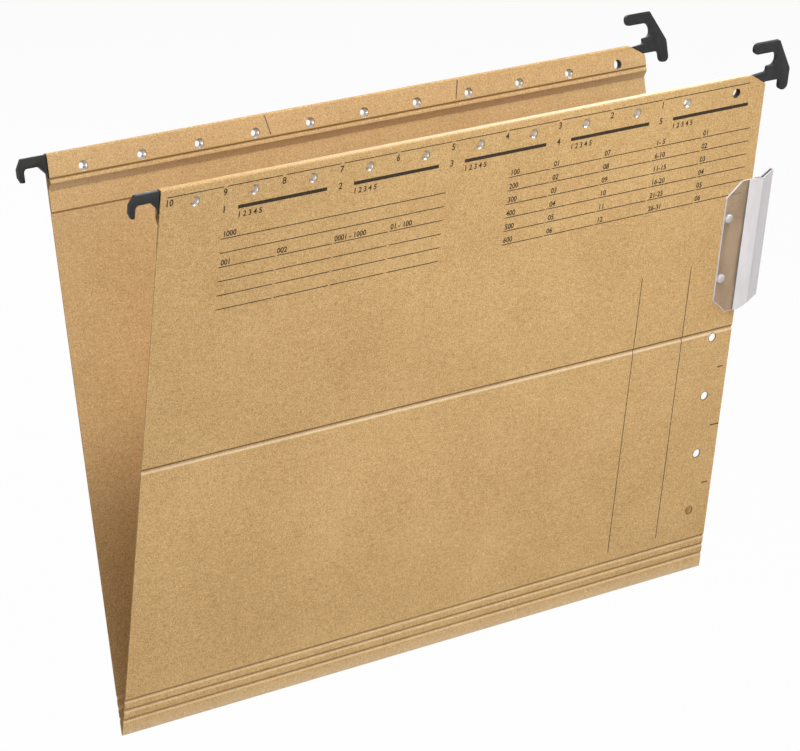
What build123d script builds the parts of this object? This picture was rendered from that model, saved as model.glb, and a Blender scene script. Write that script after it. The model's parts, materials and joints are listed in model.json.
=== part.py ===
"""Hanging file folder: a creased board sheet with hem rails, plug-in hooks and a clear label tab."""
import os
from math import cos, radians, sin

from build123d import *

# Board sheet, in millimetres and degrees
panel_width = 318.0
panel_height = 240.0
board = 0.4
panel_lean = 9.8

# Creases, as heights above the bottom fold
low_score_height = 7.1
base_fold_height = 11.6
cover_fold_height = 16.0
middle_crease_height = 120.0
groove_half_width = 0.55
groove_depth = 0.2
crease_relief = 0.2
crease_gap = 0.05

# Hem at the top of each panel
pocket = 2.2
pocket_height = 11.4
hem_step_height = 3.35
flap_length = 23.9
fold_inner_radius = 0.5
corner_cut_width = 9.0
corner_cut_height = 5.2
slit_spacing = 101.0
slit_length = 8.2
slit_width = 0.7
slit_drop = 5.0
slit_lean = 14.0

# Punched holes
hole_diameter = 4.5
hole_sides = 20
hole_pitch = 28.5
hole_drop = 7.3
hole_row_margin = 14.0
side_hole_inset = 11.4
side_hole_drop = 3.1

# Rails in the hems
rail_clearance = 0.1
rail_end_clearance = 0.6
rail_wall = 0.4
rail_inner_radius = 0.3
rail_corner_margin = 11.0

# Hooks, plugged into the rail ends
tongue_clearance = 0.05
seat_drop = 4.65
prong_drop = 10.0
arm_drop = 0.3
left_reach = 14.8
left_prong_width = 3.5
left_shoulder_radius = 3.2
left_gusset_reach = 4.4
left_gusset_drop = 9.2
left_tongue = 13.0
right_reach = 14.2
right_prong_width = 5.2
right_tongue = 14.0
neck_drop = 1.1
nub_reach = 0.6
nub_drop = 0.35
mouth_floor = 2.2
mouth_roof = 8.6
mouth_depth = 5.2
horn_reach = 8.3
horn_height = 13.5
horn_corner = 6.2
hook_corner_radius = 0.6
tip_rounding = 0.5
mouth_rounding = 0.42
horn_rounding = 0.45
latch_diameter = 2.2
latch_inset = 4.0
latch_clearance = 0.2

# Clear label tab on the right edge of the cover
tab_length = 62.0
tab_wall = 0.5
flange_reach = 14.5
flange_thickness = 0.6
flange_corner_width = 8.0
flange_corner_height = 6.5
flange_bevel = 0.4
wing_start = 2.2
wing_gap = 0.3
wing_reach = 13.8
wing_ridge_reach = 4.0
wing_ridge_rise = 1.7
wing_tip_fall = 4.3
wing_depth = 2.1
wing_foot_rise = 2.3
tab_stop = 1.0
peg_clearance = 0.2
peg_barb = 0.25
peg_length = 1.0
peg_gap = 0.1
dome_diameter = 4.0
dome_height = 0.7
dome_bevel = 0.5

# Card strip in the label tab
label_thickness = 0.25
label_end_clearance = 0.35
label_top_margin = 2.0

# Sizes that follow from the ones above
FRONT = -1
REAR = 1
lean_sin = sin(radians(panel_lean))
lean_cos = cos(radians(panel_lean))
hem_depth = pocket + 2 * board
hem_middle = -pocket / 2
seat_height = panel_height - seat_drop
fold_z = -(seat_height * lean_cos - hem_middle * lean_sin)
right_edge = panel_width / 2
hole_height = panel_height - hole_drop
hole_count = int((panel_width - 2 * hole_row_margin) // hole_pitch) + 1
first_side_hole = middle_crease_height - side_hole_drop
side_hole_room = first_side_hole - cover_fold_height - hole_diameter
side_hole_count = int(side_hole_room // hole_pitch) + 1
rail_thickness = pocket - 2 * rail_clearance
rail_height = pocket_height - board - 2 * rail_end_clearance
rail_middle = panel_height - (board + pocket_height) / 2
rail_setback = corner_cut_width + rail_corner_margin
rail_length = panel_width - rail_setback
tail_drop = panel_height - rail_middle + rail_height / 2
tongue_thickness = rail_thickness - 2 * rail_wall - 2 * tongue_clearance
tongue_height = rail_height - 2 * (rail_wall + rail_inner_radius + tongue_clearance)
peg_heights = [first_side_hole + hole_pitch, first_side_hole + 2 * hole_pitch]
tab_middle = sum(peg_heights) / len(peg_heights)
tab_bottom = tab_middle - tab_length / 2


def panel_plane(side, outward=0.0):
    """Plane along a panel's inner face: x along the width, y up the panel, z outwards."""
    plane = Plane(
        origin=(0, 0, fold_z),
        x_dir=(-side, 0, 0),
        z_dir=(0, side * lean_cos, -lean_sin),
    )
    return plane.offset(outward)


def section_plane(side, place=0.0):
    """Plane across a panel at a place along the width: x outwards, y up the panel."""
    return Plane(
        origin=(place, 0, fold_z),
        x_dir=(0, side * lean_cos, -lean_sin),
        z_dir=(side, 0, 0),
    )


def crease_edge(height, way):
    """Section points of a board edge at a crease, from the outer face to the inner face."""
    return [
        (board, height + way * groove_half_width),
        (board - groove_depth, height + way * crease_gap / 2),
        (0, height + way * (crease_gap / 2 + crease_relief)),
    ]


def edge_above(height):
    """Lower edge of the board above a crease, from the inner face to the outer face."""
    return crease_edge(height, 1)[::-1]


def edge_below(height):
    """Upper edge of the board below a crease, from the outer face to the inner face."""
    return crease_edge(height, -1)


def score_groove(height):
    """Pressed score line, cut from the outer face of the board section being drawn."""
    with Locations((board, height)):
        Polygon(
            (0, -groove_half_width),
            (0, groove_half_width),
            (-groove_depth, 0),
            align=None,
            mode=Mode.SUBTRACT,
        )


def punch_holes(side, places, height):
    """Holes punched square through what is being built, at places along the width.

    They repeat in every layer of the hem, so each is a polygon of a few sides.
    """
    with BuildSketch(panel_plane(side)) as holes:
        with Locations(*[(-side * place, height) for place in places]):
            RegularPolygon(hole_diameter / 2, hole_sides)
    extrude(holes.sketch, amount=2 * hem_depth, both=True, mode=Mode.SUBTRACT)


def hem_hole_places():
    """Places of the hem's holes along the width, centred on the panel."""
    first = -hole_pitch * (hole_count - 1) / 2
    return [first + hole_pitch * index for index in range(hole_count)]


def board_strip(side, lower, upper, scores=()):
    """Flat stretch of the board between two creases.

    lower runs from the inner to the outer face, and upper runs back.
    """
    with BuildPart() as strip:
        with BuildSketch(section_plane(side)):
            with BuildLine():
                Polyline(*lower, *upper, close=True)
            make_face()
            for score in scores:
                score_groove(score)
        extrude(amount=panel_width / 2, both=True)
    return strip


def hemmed_panel(side, lower, scores=()):
    """Upper stretch of the board, folded over at the top and glued down as a hem."""
    hem_bottom = panel_height - pocket_height
    step_bottom = hem_bottom - hem_step_height
    flap_bottom = panel_height - flap_length
    hem_face = [
        (board, panel_height),
        (-pocket - board, panel_height),
        (-pocket - board, hem_bottom),
        (-board, step_bottom),
        (-board, flap_bottom),
        (0, flap_bottom),
    ]
    pocket_face = [
        (0, panel_height - board),
        (-pocket, panel_height - board),
        (-pocket, hem_bottom),
        (0, step_bottom),
    ]
    outer_radius = fold_inner_radius + board
    with BuildPart() as panel:
        with BuildSketch(section_plane(side)):
            with BuildLine():
                radii = [0] * len(lower) + [outer_radius] * 2 + [0] * 4
                FilletPolyline(*lower, *hem_face, radius=radii, close=True)
            make_face()
            with BuildLine():
                radii = [fold_inner_radius] * 2 + [0] * 2
                FilletPolyline(*pocket_face, radius=radii, close=True)
            make_face(mode=Mode.SUBTRACT)
            for score in scores:
                score_groove(score)
        extrude(amount=panel_width / 2, both=True)
        # Clipped corner that leaves room for the double hook
        with BuildSketch(panel_plane(side)):
            with BuildLine():
                corner = [
                    (right_edge - corner_cut_width, panel_height),
                    (right_edge, panel_height - corner_cut_height),
                    (right_edge + corner_cut_width, panel_height - corner_cut_height),
                    (right_edge + corner_cut_width, panel_height + corner_cut_height),
                    (right_edge - corner_cut_width, panel_height + corner_cut_height),
                ]
                Polyline(*[(-side * across, up) for across, up in corner], close=True)
            make_face()
        extrude(amount=2 * hem_depth, both=True, mode=Mode.SUBTRACT)
        # Slanted relief slits in the inner flap
        with BuildSketch(panel_plane(side, -pocket - board / 2)):
            for way in (-1, 1):
                with Locations((way * slit_spacing / 2, panel_height - slit_drop)):
                    Rectangle(slit_width, slit_length, rotation=-way * slit_lean)
        extrude(amount=board, both=True, mode=Mode.SUBTRACT)
        punch_holes(side, hem_hole_places(), hole_height)
    return panel


def latch_places():
    """Places of the two latch holes along a rail, near its ends."""
    return [-right_edge + latch_inset, right_edge - rail_setback - latch_inset]


def hem_rail(side):
    """Flat tube with a row of holes that stiffens a hem and takes a hook at each end."""
    with BuildPart() as rail:
        with BuildSketch(section_plane(side, -rail_setback / 2)):
            with Locations((hem_middle, rail_middle)):
                RectangleRounded(rail_thickness, rail_height, rail_inner_radius + rail_wall)
                RectangleRounded(
                    rail_thickness - 2 * rail_wall,
                    rail_height - 2 * rail_wall,
                    rail_inner_radius,
                    mode=Mode.SUBTRACT,
                )
        extrude(amount=rail_length / 2, both=True)
        punch_holes(side, hem_hole_places(), hole_height)
        with BuildSketch(panel_plane(side, hem_middle)):
            with Locations(*[(-side * place, rail_middle) for place in latch_places()]):
                Circle(latch_diameter / 2 + latch_clearance)
        extrude(amount=-rail_thickness, mode=Mode.SUBTRACT)
    return rail


def rail_tongue(side, root, tip, latch):
    """Tongue of a hook inside the rail, with the latch nub that snaps into the rail's wall."""
    with BuildSketch(panel_plane(side, hem_middle)) as blade:
        with Locations((-side * (root + tip) / 2, rail_middle)):
            Rectangle(abs(tip - root), tongue_height)
    extrude(blade.sketch, amount=tongue_thickness / 2, both=True)
    with BuildSketch(panel_plane(side, hem_middle)) as nub:
        with Locations((-side * latch, rail_middle)):
            Circle(latch_diameter / 2)
    extrude(nub.sketch, amount=-rail_thickness / 2)
    punch_holes(side, hem_hole_places(), hole_height)


def left_hook(side):
    """Single hook: an arm with a seat, a prong that hangs behind the cabinet rail and a gusset."""
    prong_inner = left_reach - left_prong_width
    outline = [
        (0, arm_drop),
        (left_reach, arm_drop),
        (left_reach, prong_drop),
        (prong_inner, prong_drop),
        (prong_inner, seat_drop),
        (left_gusset_reach, seat_drop),
        (0, left_gusset_drop),
    ]
    tip_radius = tip_rounding * left_prong_width
    radii = [0, left_shoulder_radius, tip_radius, tip_radius / 2]
    radii += [hook_corner_radius, hook_corner_radius, 0]
    with BuildPart() as hook:
        with BuildSketch(panel_plane(side, hem_middle)):
            with BuildLine():
                points = [(side * (right_edge + out), panel_height - drop) for out, drop in outline]
                FilletPolyline(*points, radius=radii, close=True)
            make_face()
        extrude(amount=rail_thickness / 2, both=True)
        rail_tongue(side, -right_edge, -right_edge + left_tongue, latch_places()[0])
    return hook


def right_hook(side):
    """Double hook: seat and prong for rails below, C mouth under a horn for hanging sideways."""
    prong_inner = right_reach - right_prong_width
    tip_radius = tip_rounding * right_prong_width
    mouth_radius = mouth_rounding * (mouth_roof - mouth_floor)
    horn_radius = horn_rounding * (horn_height - mouth_roof)
    nub_radius = tip_rounding * (mouth_floor + nub_drop)
    outline = {
        (-rail_setback, neck_drop): 0,
        (-corner_cut_width + neck_drop, neck_drop): 0,
        (nub_reach, nub_drop): nub_radius,
        (nub_reach, -mouth_floor): hook_corner_radius,
        (mouth_depth, -mouth_floor): mouth_radius,
        (mouth_depth, -mouth_roof): mouth_radius,
        (-horn_reach, -mouth_roof): horn_radius,
        (-horn_reach, -horn_height): horn_radius,
        (horn_corner, -horn_height): hook_corner_radius,
        (right_reach, nub_drop): tip_radius,
        (right_reach, prong_drop): tip_radius,
        (prong_inner, prong_drop): tip_radius / 2,
        (prong_inner, seat_drop): hook_corner_radius,
        (0, seat_drop): 0,
        (0, tail_drop): 0,
        (-rail_setback, tail_drop): 0,
    }
    with BuildPart() as hook:
        with BuildSketch(panel_plane(side, hem_middle)):
            with BuildLine():
                points = [(-side * (right_edge + out), panel_height - drop) for out, drop in outline]
                FilletPolyline(*points, radius=list(outline.values()), close=True)
            make_face()
        extrude(amount=rail_thickness / 2, both=True)
        root = right_edge - rail_setback
        rail_tongue(side, root, root - right_tongue, latch_places()[1])
    return hook


def tab_plane(height):
    """Plane across the label tab at a height up the cover: x along the width, y inwards."""
    origin = panel_plane(FRONT).from_local_coords(Vector(right_edge, height, 0))
    return Plane(origin=origin, x_dir=(1, 0, 0), z_dir=(0, -lean_sin, lean_cos))


def wing_surface(reach):
    """Outward height of the wing's front face at a reach past the board's edge."""
    flange_face = board + flange_thickness
    ridge = board + wing_ridge_rise
    tip = board - wing_tip_fall
    if reach <= wing_ridge_reach:
        share = (reach + wing_start) / (wing_ridge_reach + wing_start)
        return flange_face + share * (ridge - flange_face)
    share = (reach - wing_ridge_reach) / (wing_reach - wing_ridge_reach)
    return ridge + share * (tip - ridge)


def wing_band(start, end, upper, lower):
    """Points of a chevron band in the wing's section, between two depths below its front face."""
    reaches = [start, wing_ridge_reach, end]
    front = [(reach, upper - wing_surface(reach)) for reach in reaches]
    back = [(reach, lower - wing_surface(reach)) for reach in reversed(reaches)]
    return front + back


# Rear half of the board sheet
rear_panel = hemmed_panel(REAR, edge_above(base_fold_height), [cover_fold_height])
bottom_edge = [(0, crease_gap / 2), (board, crease_gap / 2)]
rear_base_strip = board_strip(REAR, bottom_edge, edge_below(base_fold_height), [low_score_height])

# Front half of the board sheet
front_base_strip = board_strip(FRONT, bottom_edge, edge_below(base_fold_height), [low_score_height])
front_hinge_strip = board_strip(FRONT, edge_above(base_fold_height), edge_below(cover_fold_height))
front_upper_panel = hemmed_panel(FRONT, edge_above(middle_crease_height))
side_hole_place = right_edge - side_hole_inset
with front_upper_panel:
    for peg_height in peg_heights:
        punch_holes(FRONT, [side_hole_place], peg_height)
front_lower_panel = board_strip(FRONT, edge_above(cover_fold_height), edge_below(middle_crease_height))
with front_lower_panel:
    for hole_index in range(side_hole_count):
        punch_holes(FRONT, [side_hole_place], first_side_hole - hole_index * hole_pitch)

# Rails and hooks
rear_rail = hem_rail(REAR)
front_rail = hem_rail(FRONT)
rear_left_hook = left_hook(REAR)
front_left_hook = left_hook(FRONT)
rear_right_hook = right_hook(REAR)
front_right_hook = right_hook(FRONT)

# Clear label tab: flange on the board, folded sleeve past its edge and two snap pegs
with BuildPart() as label_tab:
    with BuildSketch(tab_plane(tab_bottom)):
        with BuildLine():
            Polyline(
                (-flange_reach, -board),
                (-flange_reach, -board - flange_thickness),
                (-wing_start, -board - flange_thickness),
                (wing_gap, -wing_surface(wing_gap)),
                (wing_gap, -board),
                close=True,
            )
        make_face()
        Polygon(*wing_band(wing_gap, wing_reach, 0, wing_depth), align=None)
        sleeve = wing_band(wing_gap + tab_wall, wing_reach - tab_wall, tab_wall, wing_depth - tab_wall)
        Polygon(*sleeve, align=None, mode=Mode.SUBTRACT)
    extrude(amount=tab_length)
    # Closed foot that stops the card
    with BuildSketch(tab_plane(tab_bottom)):
        Polygon(*wing_band(wing_gap, wing_reach, 0, wing_depth), align=None)
    extrude(amount=wing_foot_rise + tab_stop)
    # Cut corners of the flange and of the wing's foot
    with BuildSketch(panel_plane(FRONT)):
        with Locations((right_edge - flange_reach, tab_middle)):
            for end in (-1, 1):
                Polygon(
                    (0, end * (tab_length / 2 - flange_corner_height)),
                    (0, end * tab_length / 2),
                    (flange_corner_width, end * tab_length / 2),
                    align=None,
                )
        with Locations((right_edge, tab_bottom)):
            Polygon(
                (wing_gap, 0),
                (wing_reach, 0),
                (wing_reach, wing_foot_rise),
                (wing_ridge_reach, wing_foot_rise),
                align=None,
            )
    extrude(amount=2 * hem_depth, both=True, mode=Mode.SUBTRACT)
    # Bevelled rim along the flange's free edges
    outward = Axis((0, 0, 0), (0, -lean_cos, -lean_sin))
    flange_face = label_tab.faces().filter_by(outward).group_by(outward)[-1][0]
    chamfer(flange_face.edges().sort_by(Axis.X)[:3], length=flange_bevel)
    # Pegs through the board, each with a barb behind it and a dome in front
    for peg_height in peg_heights:
        peg_radius = hole_diameter / 2 - peg_clearance
        barb_radius = hole_diameter / 2 + peg_barb
        with BuildSketch(panel_plane(FRONT, -peg_gap - peg_length)):
            with Locations((side_hole_place, peg_height)):
                Circle(peg_radius)
        extrude(amount=peg_length + peg_gap + board)
        with BuildSketch(panel_plane(FRONT, -peg_gap - peg_length)):
            with Locations((side_hole_place, peg_height)):
                Circle(peg_radius - peg_barb)
        with BuildSketch(panel_plane(FRONT, -peg_gap)):
            with Locations((side_hole_place, peg_height)):
                Circle(barb_radius)
        loft()
        with BuildSketch(panel_plane(FRONT, board + flange_thickness)):
            with Locations((side_hole_place, peg_height)):
                Circle(dome_diameter / 2)
        dome = extrude(amount=dome_height)
        crown = dome.faces().sort_by(outward)[-1]
        chamfer(crown.edges(), length=dome_bevel)

# Folded card strip that slides in the sleeve
with BuildPart() as label_insert:
    label_bottom = tab_bottom + wing_foot_rise + tab_stop + label_end_clearance
    label_length = tab_bottom + tab_length - label_top_margin - label_bottom
    card_depth = (wing_depth - label_thickness) / 2
    card_margin = tab_wall + label_end_clearance
    with BuildSketch(tab_plane(label_bottom)):
        card = wing_band(
            wing_gap + card_margin,
            wing_reach - card_margin,
            card_depth,
            card_depth + label_thickness,
        )
        Polygon(*card, align=None)
    extrude(amount=label_length)

pieces = {
    "rear_panel": rear_panel,
    "rear_base_strip": rear_base_strip,
    "front_base_strip": front_base_strip,
    "front_hinge_strip": front_hinge_strip,
    "front_lower_panel": front_lower_panel,
    "front_upper_panel": front_upper_panel,
    "rear_rail": rear_rail,
    "front_rail": front_rail,
    "rear_left_hook": rear_left_hook,
    "front_left_hook": front_left_hook,
    "rear_right_hook": rear_right_hook,
    "front_right_hook": front_right_hook,
    "label_tab": label_tab,
    "label_insert": label_insert,
}
os.makedirs("parts", exist_ok=True)
for name, piece in pieces.items():
    piece.part.label = name
    export_step(piece.part, f"parts/{name}.step")
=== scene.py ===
"""Dresses the hanging folder: kraft board, hem rails, moulded hooks, clear label holder and print."""

import json
import logging
import math
from dataclasses import dataclass
from enum import Enum
from typing import Any, Sequence

import bmesh
import bpy
from mathutils import Euler, Matrix, Vector

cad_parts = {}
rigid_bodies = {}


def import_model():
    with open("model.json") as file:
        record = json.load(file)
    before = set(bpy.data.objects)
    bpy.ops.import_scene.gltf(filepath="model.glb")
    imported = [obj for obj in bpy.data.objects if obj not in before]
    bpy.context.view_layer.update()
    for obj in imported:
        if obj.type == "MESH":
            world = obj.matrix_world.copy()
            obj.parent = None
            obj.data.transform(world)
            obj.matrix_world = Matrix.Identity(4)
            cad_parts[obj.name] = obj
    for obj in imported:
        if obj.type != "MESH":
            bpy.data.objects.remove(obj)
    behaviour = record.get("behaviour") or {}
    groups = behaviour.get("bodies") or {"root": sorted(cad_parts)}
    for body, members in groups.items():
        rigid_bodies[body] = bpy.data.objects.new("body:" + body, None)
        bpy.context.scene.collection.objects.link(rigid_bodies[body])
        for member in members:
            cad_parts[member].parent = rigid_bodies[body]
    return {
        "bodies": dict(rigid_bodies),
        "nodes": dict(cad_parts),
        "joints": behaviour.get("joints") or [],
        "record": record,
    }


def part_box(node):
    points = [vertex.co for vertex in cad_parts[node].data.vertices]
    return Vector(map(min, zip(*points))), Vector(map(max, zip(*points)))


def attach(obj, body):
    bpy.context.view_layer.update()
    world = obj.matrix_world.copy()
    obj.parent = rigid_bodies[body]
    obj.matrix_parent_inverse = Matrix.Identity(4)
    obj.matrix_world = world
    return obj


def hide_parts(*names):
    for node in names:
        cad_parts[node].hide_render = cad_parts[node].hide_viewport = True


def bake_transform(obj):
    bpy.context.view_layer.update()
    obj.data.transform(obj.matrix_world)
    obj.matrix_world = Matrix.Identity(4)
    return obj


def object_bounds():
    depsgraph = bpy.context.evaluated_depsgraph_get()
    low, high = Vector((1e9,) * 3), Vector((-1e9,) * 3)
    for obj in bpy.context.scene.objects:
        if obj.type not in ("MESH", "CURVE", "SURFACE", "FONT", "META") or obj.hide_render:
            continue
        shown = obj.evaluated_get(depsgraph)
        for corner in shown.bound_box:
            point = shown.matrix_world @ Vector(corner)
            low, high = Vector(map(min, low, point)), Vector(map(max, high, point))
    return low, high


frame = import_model()
CAD_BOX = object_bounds()
LOG = logging.getLogger("hanging_folder")

MM = 0.001
# Vertex attribute of painted light on the board: painted highlights where positive, painted shade where
# negative.
PAINTED_LIGHT_AND_SHADE = "wear"
ACROSS = Vector((1.0, 0.0, 0.0))
Point = tuple[float, float]
Corner = tuple[float, float, float]
Colour = tuple[float, float, float]
Number = tuple[str, float, float, float]
Piece = bpy.types.Object
Mesh = bpy.types.Mesh
Material = bpy.types.Material
Socket = bpy.types.NodeSocket


class Side(Enum):
    """The two walls of the folder, with the sign of their outward direction along Y."""

    FRONT = -1
    REAR = 1


class Body(Enum):
    """The moving bodies of the frame that new pieces ride on."""

    REAR = "rear"
    HINGE = "front_hinge"
    LOWER = "front_lower"
    UPPER = "front_upper"


class Slot(Enum):
    """The record's material slots of the new pieces."""

    BOARD = "board"
    RAIL = "rail"
    HOOK = "hook"
    TAB = "tab"


class Kind(Enum):
    """The kinds of named inputs of a geometry tree."""

    VECTOR = "NodeSocketVector"
    WHOLE = "NodeSocketInt"
    NUMBER = "NodeSocketFloat"
    MATERIAL = "NodeSocketMaterial"


class NodeGraph:
    """Adds and links the nodes of one shader or geometry tree."""

    def __init__(self, tree: bpy.types.NodeTree) -> None:
        """Keeps the tree that the nodes go into."""
        self.tree = tree

    @classmethod
    def emptied(cls, owner: bpy.types.ID) -> "NodeGraph":
        """Clears the usual nodes of a material or world.

        Args:
            owner: The material or world.

        Returns:
            The graph of its empty tree.
        """
        owner.use_nodes = True
        owner.node_tree.nodes.clear()
        return cls(owner.node_tree)

    def add(self, kind: str, inputs: dict[Any, Any] | None = None, **settings: Any) -> bpy.types.Node:
        """Adds a node.

        Args:
            kind: Blender's name of the node type.
            inputs: Values or source sockets by input name or number.
            **settings: Properties of the node.

        Returns:
            The new node.
        """
        node = self.tree.nodes.new(kind)
        for name, value in settings.items():
            setattr(node, name, value)
        for socket, value in (inputs or {}).items():
            if isinstance(value, Socket):
                self.tree.links.new(value, node.inputs[socket])
            else:
                node.inputs[socket].default_value = value
        return node

    def math(self, operation: str, *values: Any) -> Socket:
        """Returns the result socket of a Math node on the given values or sockets."""
        return self.add("ShaderNodeMath", dict(enumerate(values)), operation=operation).outputs[0]

    def spread(self, value: Any, low: float, high: float, start: float = 0.0, end: float = 1.0) -> Socket:
        """Returns value mapped smoothly from low..high to start..end, clamped."""
        inputs = {"Value": value, "From Min": low, "From Max": high, "To Min": start, "To Max": end}
        return self.add("ShaderNodeMapRange", inputs, interpolation_type="SMOOTHSTEP").outputs[0]

    def share(self, value: Any, full: float) -> Socket:
        """Returns value as a share of a full value, between 0 and 1."""
        return self.add("ShaderNodeMapRange", {"Value": value, "From Max": full}).outputs[0]

    def mix(self, factor: Any, first: Any, second: Any) -> Socket:
        """Returns the colour between two colours or sockets."""
        inputs = {0: factor, 6: opaque(first), 7: opaque(second)}
        return self.add("ShaderNodeMix", inputs, data_type="RGBA").outputs[2]

    def noise(self, place: Socket, scale: float, detail: float = 2.0, roughness: float = 0.6) -> Socket:
        """Returns the grey value of a noise at a number of features per metre."""
        inputs = {"Vector": place, "Scale": scale, "Detail": detail, "Roughness": roughness}
        return self.add("ShaderNodeTexNoise", inputs).outputs[0]

    def stretched(self, place: Socket, scale: Sequence[float]) -> Socket:
        """Returns the coordinates scaled along each axis."""
        return self.add("ShaderNodeMapping", {"Vector": place, "Scale": scale}).outputs[0]

    def bump(self, height: Any, strength: float, depth: float) -> Socket:
        """Returns the normal of a bump of a real depth in metres."""
        inputs = {"Height": height, "Strength": strength, "Distance": depth}
        return self.add("ShaderNodeBump", inputs).outputs[0]


def opaque(colour: Any) -> Any:
    """Adds full alpha to a plain colour and passes sockets through."""
    return colour if isinstance(colour, Socket) else (*colour, 1.0)


@dataclass(frozen=True)
class Finish:
    """A procedural material on the Principled shader. A relief is a bump's strength and depth."""

    name: str

    def inputs(self, graph: NodeGraph, place: Socket) -> dict[str, Any]:
        """Works out the shader's inputs.

        Args:
            graph: The material's graph.
            place: Object coordinates, which are the frame's own metres on every piece.

        Returns:
            Values or source sockets by the name of the shader's input.
        """
        raise NotImplementedError

    def material(self) -> Material:
        """Builds the material.

        Returns:
            The new material.
        """
        material = bpy.data.materials.new(self.name)
        graph = NodeGraph.emptied(material)
        place = graph.add("ShaderNodeTexCoord").outputs["Object"]
        shader = graph.add("ShaderNodeBsdfPrincipled", self.inputs(graph, place))
        graph.add("ShaderNodeOutputMaterial", {"Surface": shader.outputs[0]})
        return material


@dataclass(frozen=True)
class KraftFinish(Finish):
    """Brown kraft board: cloudy pulp, fine fibres, dark flecks, and painted highlights and painted shade
    along its lines and folds.
    """

    name: str = "kraft_board"
    shade: Colour = (0.430, 0.252, 0.096)
    pulp: Colour = (0.590, 0.374, 0.158)
    light: Colour = (0.750, 0.508, 0.240)
    fleck: Colour = (0.200, 0.110, 0.042)
    # Pale colour of the painted highlights, where the vertex attribute is positive.
    worn: Colour = (0.930, 0.800, 0.610)
    # Dark colour of the painted shade, where the vertex attribute is negative.
    pressed: Colour = (0.130, 0.066, 0.022)
    grain: float = 2100.0
    grain_share: float = 0.70
    fibre: float = 900.0
    fibre_ways: tuple[Corner, Corner] = ((0.25, 1.0, 1.0), (1.0, 1.0, 0.25))
    fibre_share: float = 0.20
    cloud: float = 24.0
    cloud_share: float = 0.12
    dark_tones: Point = (0.40, 0.52)
    pale_tones: Point = (0.52, 0.65)
    fleck_scale: float = 620.0
    fleck_reach: Point = (0.08, 0.22)
    fleck_strength: float = 0.5
    plain_cells: float = 0.80
    fibre_range: Point = (0.3, 0.8)
    roughness: Point = (0.92, 0.72)
    relief: Point = (0.35, 0.06 * MM)
    specular: float = 0.25

    def inputs(self, graph: NodeGraph, place: Socket) -> dict[str, Any]:
        """Works out the board's colour, roughness and relief.

        Args:
            graph: The material's graph.
            place: Object coordinates.

        Returns:
            The shader's inputs by name.
        """
        grain = graph.noise(place, self.grain)
        ways = [graph.noise(graph.stretched(place, way), self.fibre, detail=3.0) for way in self.fibre_ways]
        fibres = graph.math("MAXIMUM", *ways)
        cloud = graph.noise(place, self.cloud, detail=3.0)
        tone = graph.math("MULTIPLY", grain, self.grain_share)
        tone = graph.math("MULTIPLY_ADD", fibres, self.fibre_share, tone)
        tone = graph.math("MULTIPLY_ADD", cloud, self.cloud_share, tone)
        colour = graph.mix(graph.spread(tone, *self.dark_tones), self.shade, self.pulp)
        colour = graph.mix(graph.spread(tone, *self.pale_tones), colour, self.light)
        cells = graph.add("ShaderNodeTexVoronoi", {"Vector": place, "Scale": self.fleck_scale})
        near = graph.spread(cells.outputs["Distance"], *self.fleck_reach, self.fleck_strength, 0.0)
        chosen = graph.add("ShaderNodeSeparateColor", {0: cells.outputs["Color"]}).outputs[0]
        specks = graph.math("MULTIPLY", near, graph.math("GREATER_THAN", chosen, self.plain_cells))
        colour = graph.mix(specks, colour, self.fleck)
        # The vertex attribute paints highlights pale where it is positive and paints shade dark where it is
        # negative.
        wear = graph.add("ShaderNodeAttribute", attribute_name=PAINTED_LIGHT_AND_SHADE).outputs["Fac"]
        colour = graph.mix(graph.share(wear, 1.0), colour, self.worn)
        return {
            "Base Color": graph.mix(graph.share(wear, -1.0), colour, self.pressed),
            "Roughness": graph.spread(fibres, *self.fibre_range, *self.roughness),
            "Normal": graph.bump(graph.math("ADD", grain, fibres), *self.relief),
            "Specular IOR Level": self.specular,
        }


@dataclass(frozen=True)
class SteelFinish(Finish):
    """Bright rolled steel strip with fine lines along the rail."""

    name: str = "rail_steel"
    tone: Colour = (0.66, 0.63, 0.58)
    worn: Colour = (0.50, 0.47, 0.43)
    lines: float = 5200.0
    rolling: Corner = (0.02, 1.0, 1.0)
    line_range: Point = (0.3, 0.7)
    roughness: Point = (0.34, 0.50)
    relief: Point = (0.1, 0.02 * MM)

    def inputs(self, graph: NodeGraph, place: Socket) -> dict[str, Any]:
        """Works out the rail's colour, roughness and relief.

        Args:
            graph: The material's graph.
            place: Object coordinates.

        Returns:
            The shader's inputs by name.
        """
        rolled = graph.noise(graph.stretched(place, self.rolling), self.lines)
        return {
            "Base Color": graph.mix(rolled, self.worn, self.tone),
            "Roughness": graph.spread(rolled, *self.line_range, *self.roughness),
            "Normal": graph.bump(rolled, *self.relief),
            "Metallic": 1.0,
        }


@dataclass(frozen=True)
class MouldedFinish(Finish):
    """Black moulded plastic with a fine eroded grain and rubbed patches."""

    name: str = "hook_plastic"
    black: Colour = (0.0095, 0.0105, 0.0100)
    rubbed: Colour = (0.0190, 0.0205, 0.0195)
    grain: float = 3800.0
    patch: float = 260.0
    rubbed_range: Point = (0.4, 0.7)
    patch_range: Point = (0.3, 0.7)
    roughness: Point = (0.40, 0.56)
    relief: Point = (0.25, 0.03 * MM)
    specular: float = 0.3

    def inputs(self, graph: NodeGraph, place: Socket) -> dict[str, Any]:
        """Works out the hooks' colour, roughness and relief.

        Args:
            graph: The material's graph.
            place: Object coordinates.

        Returns:
            The shader's inputs by name.
        """
        grain = graph.noise(place, self.grain)
        patch = graph.noise(place, self.patch, detail=3.0)
        return {
            "Base Color": graph.mix(graph.spread(patch, *self.rubbed_range), self.black, self.rubbed),
            "Roughness": graph.spread(patch, *self.patch_range, *self.roughness),
            "Normal": graph.bump(grain, *self.relief),
            "Specular IOR Level": self.specular,
        }


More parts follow.
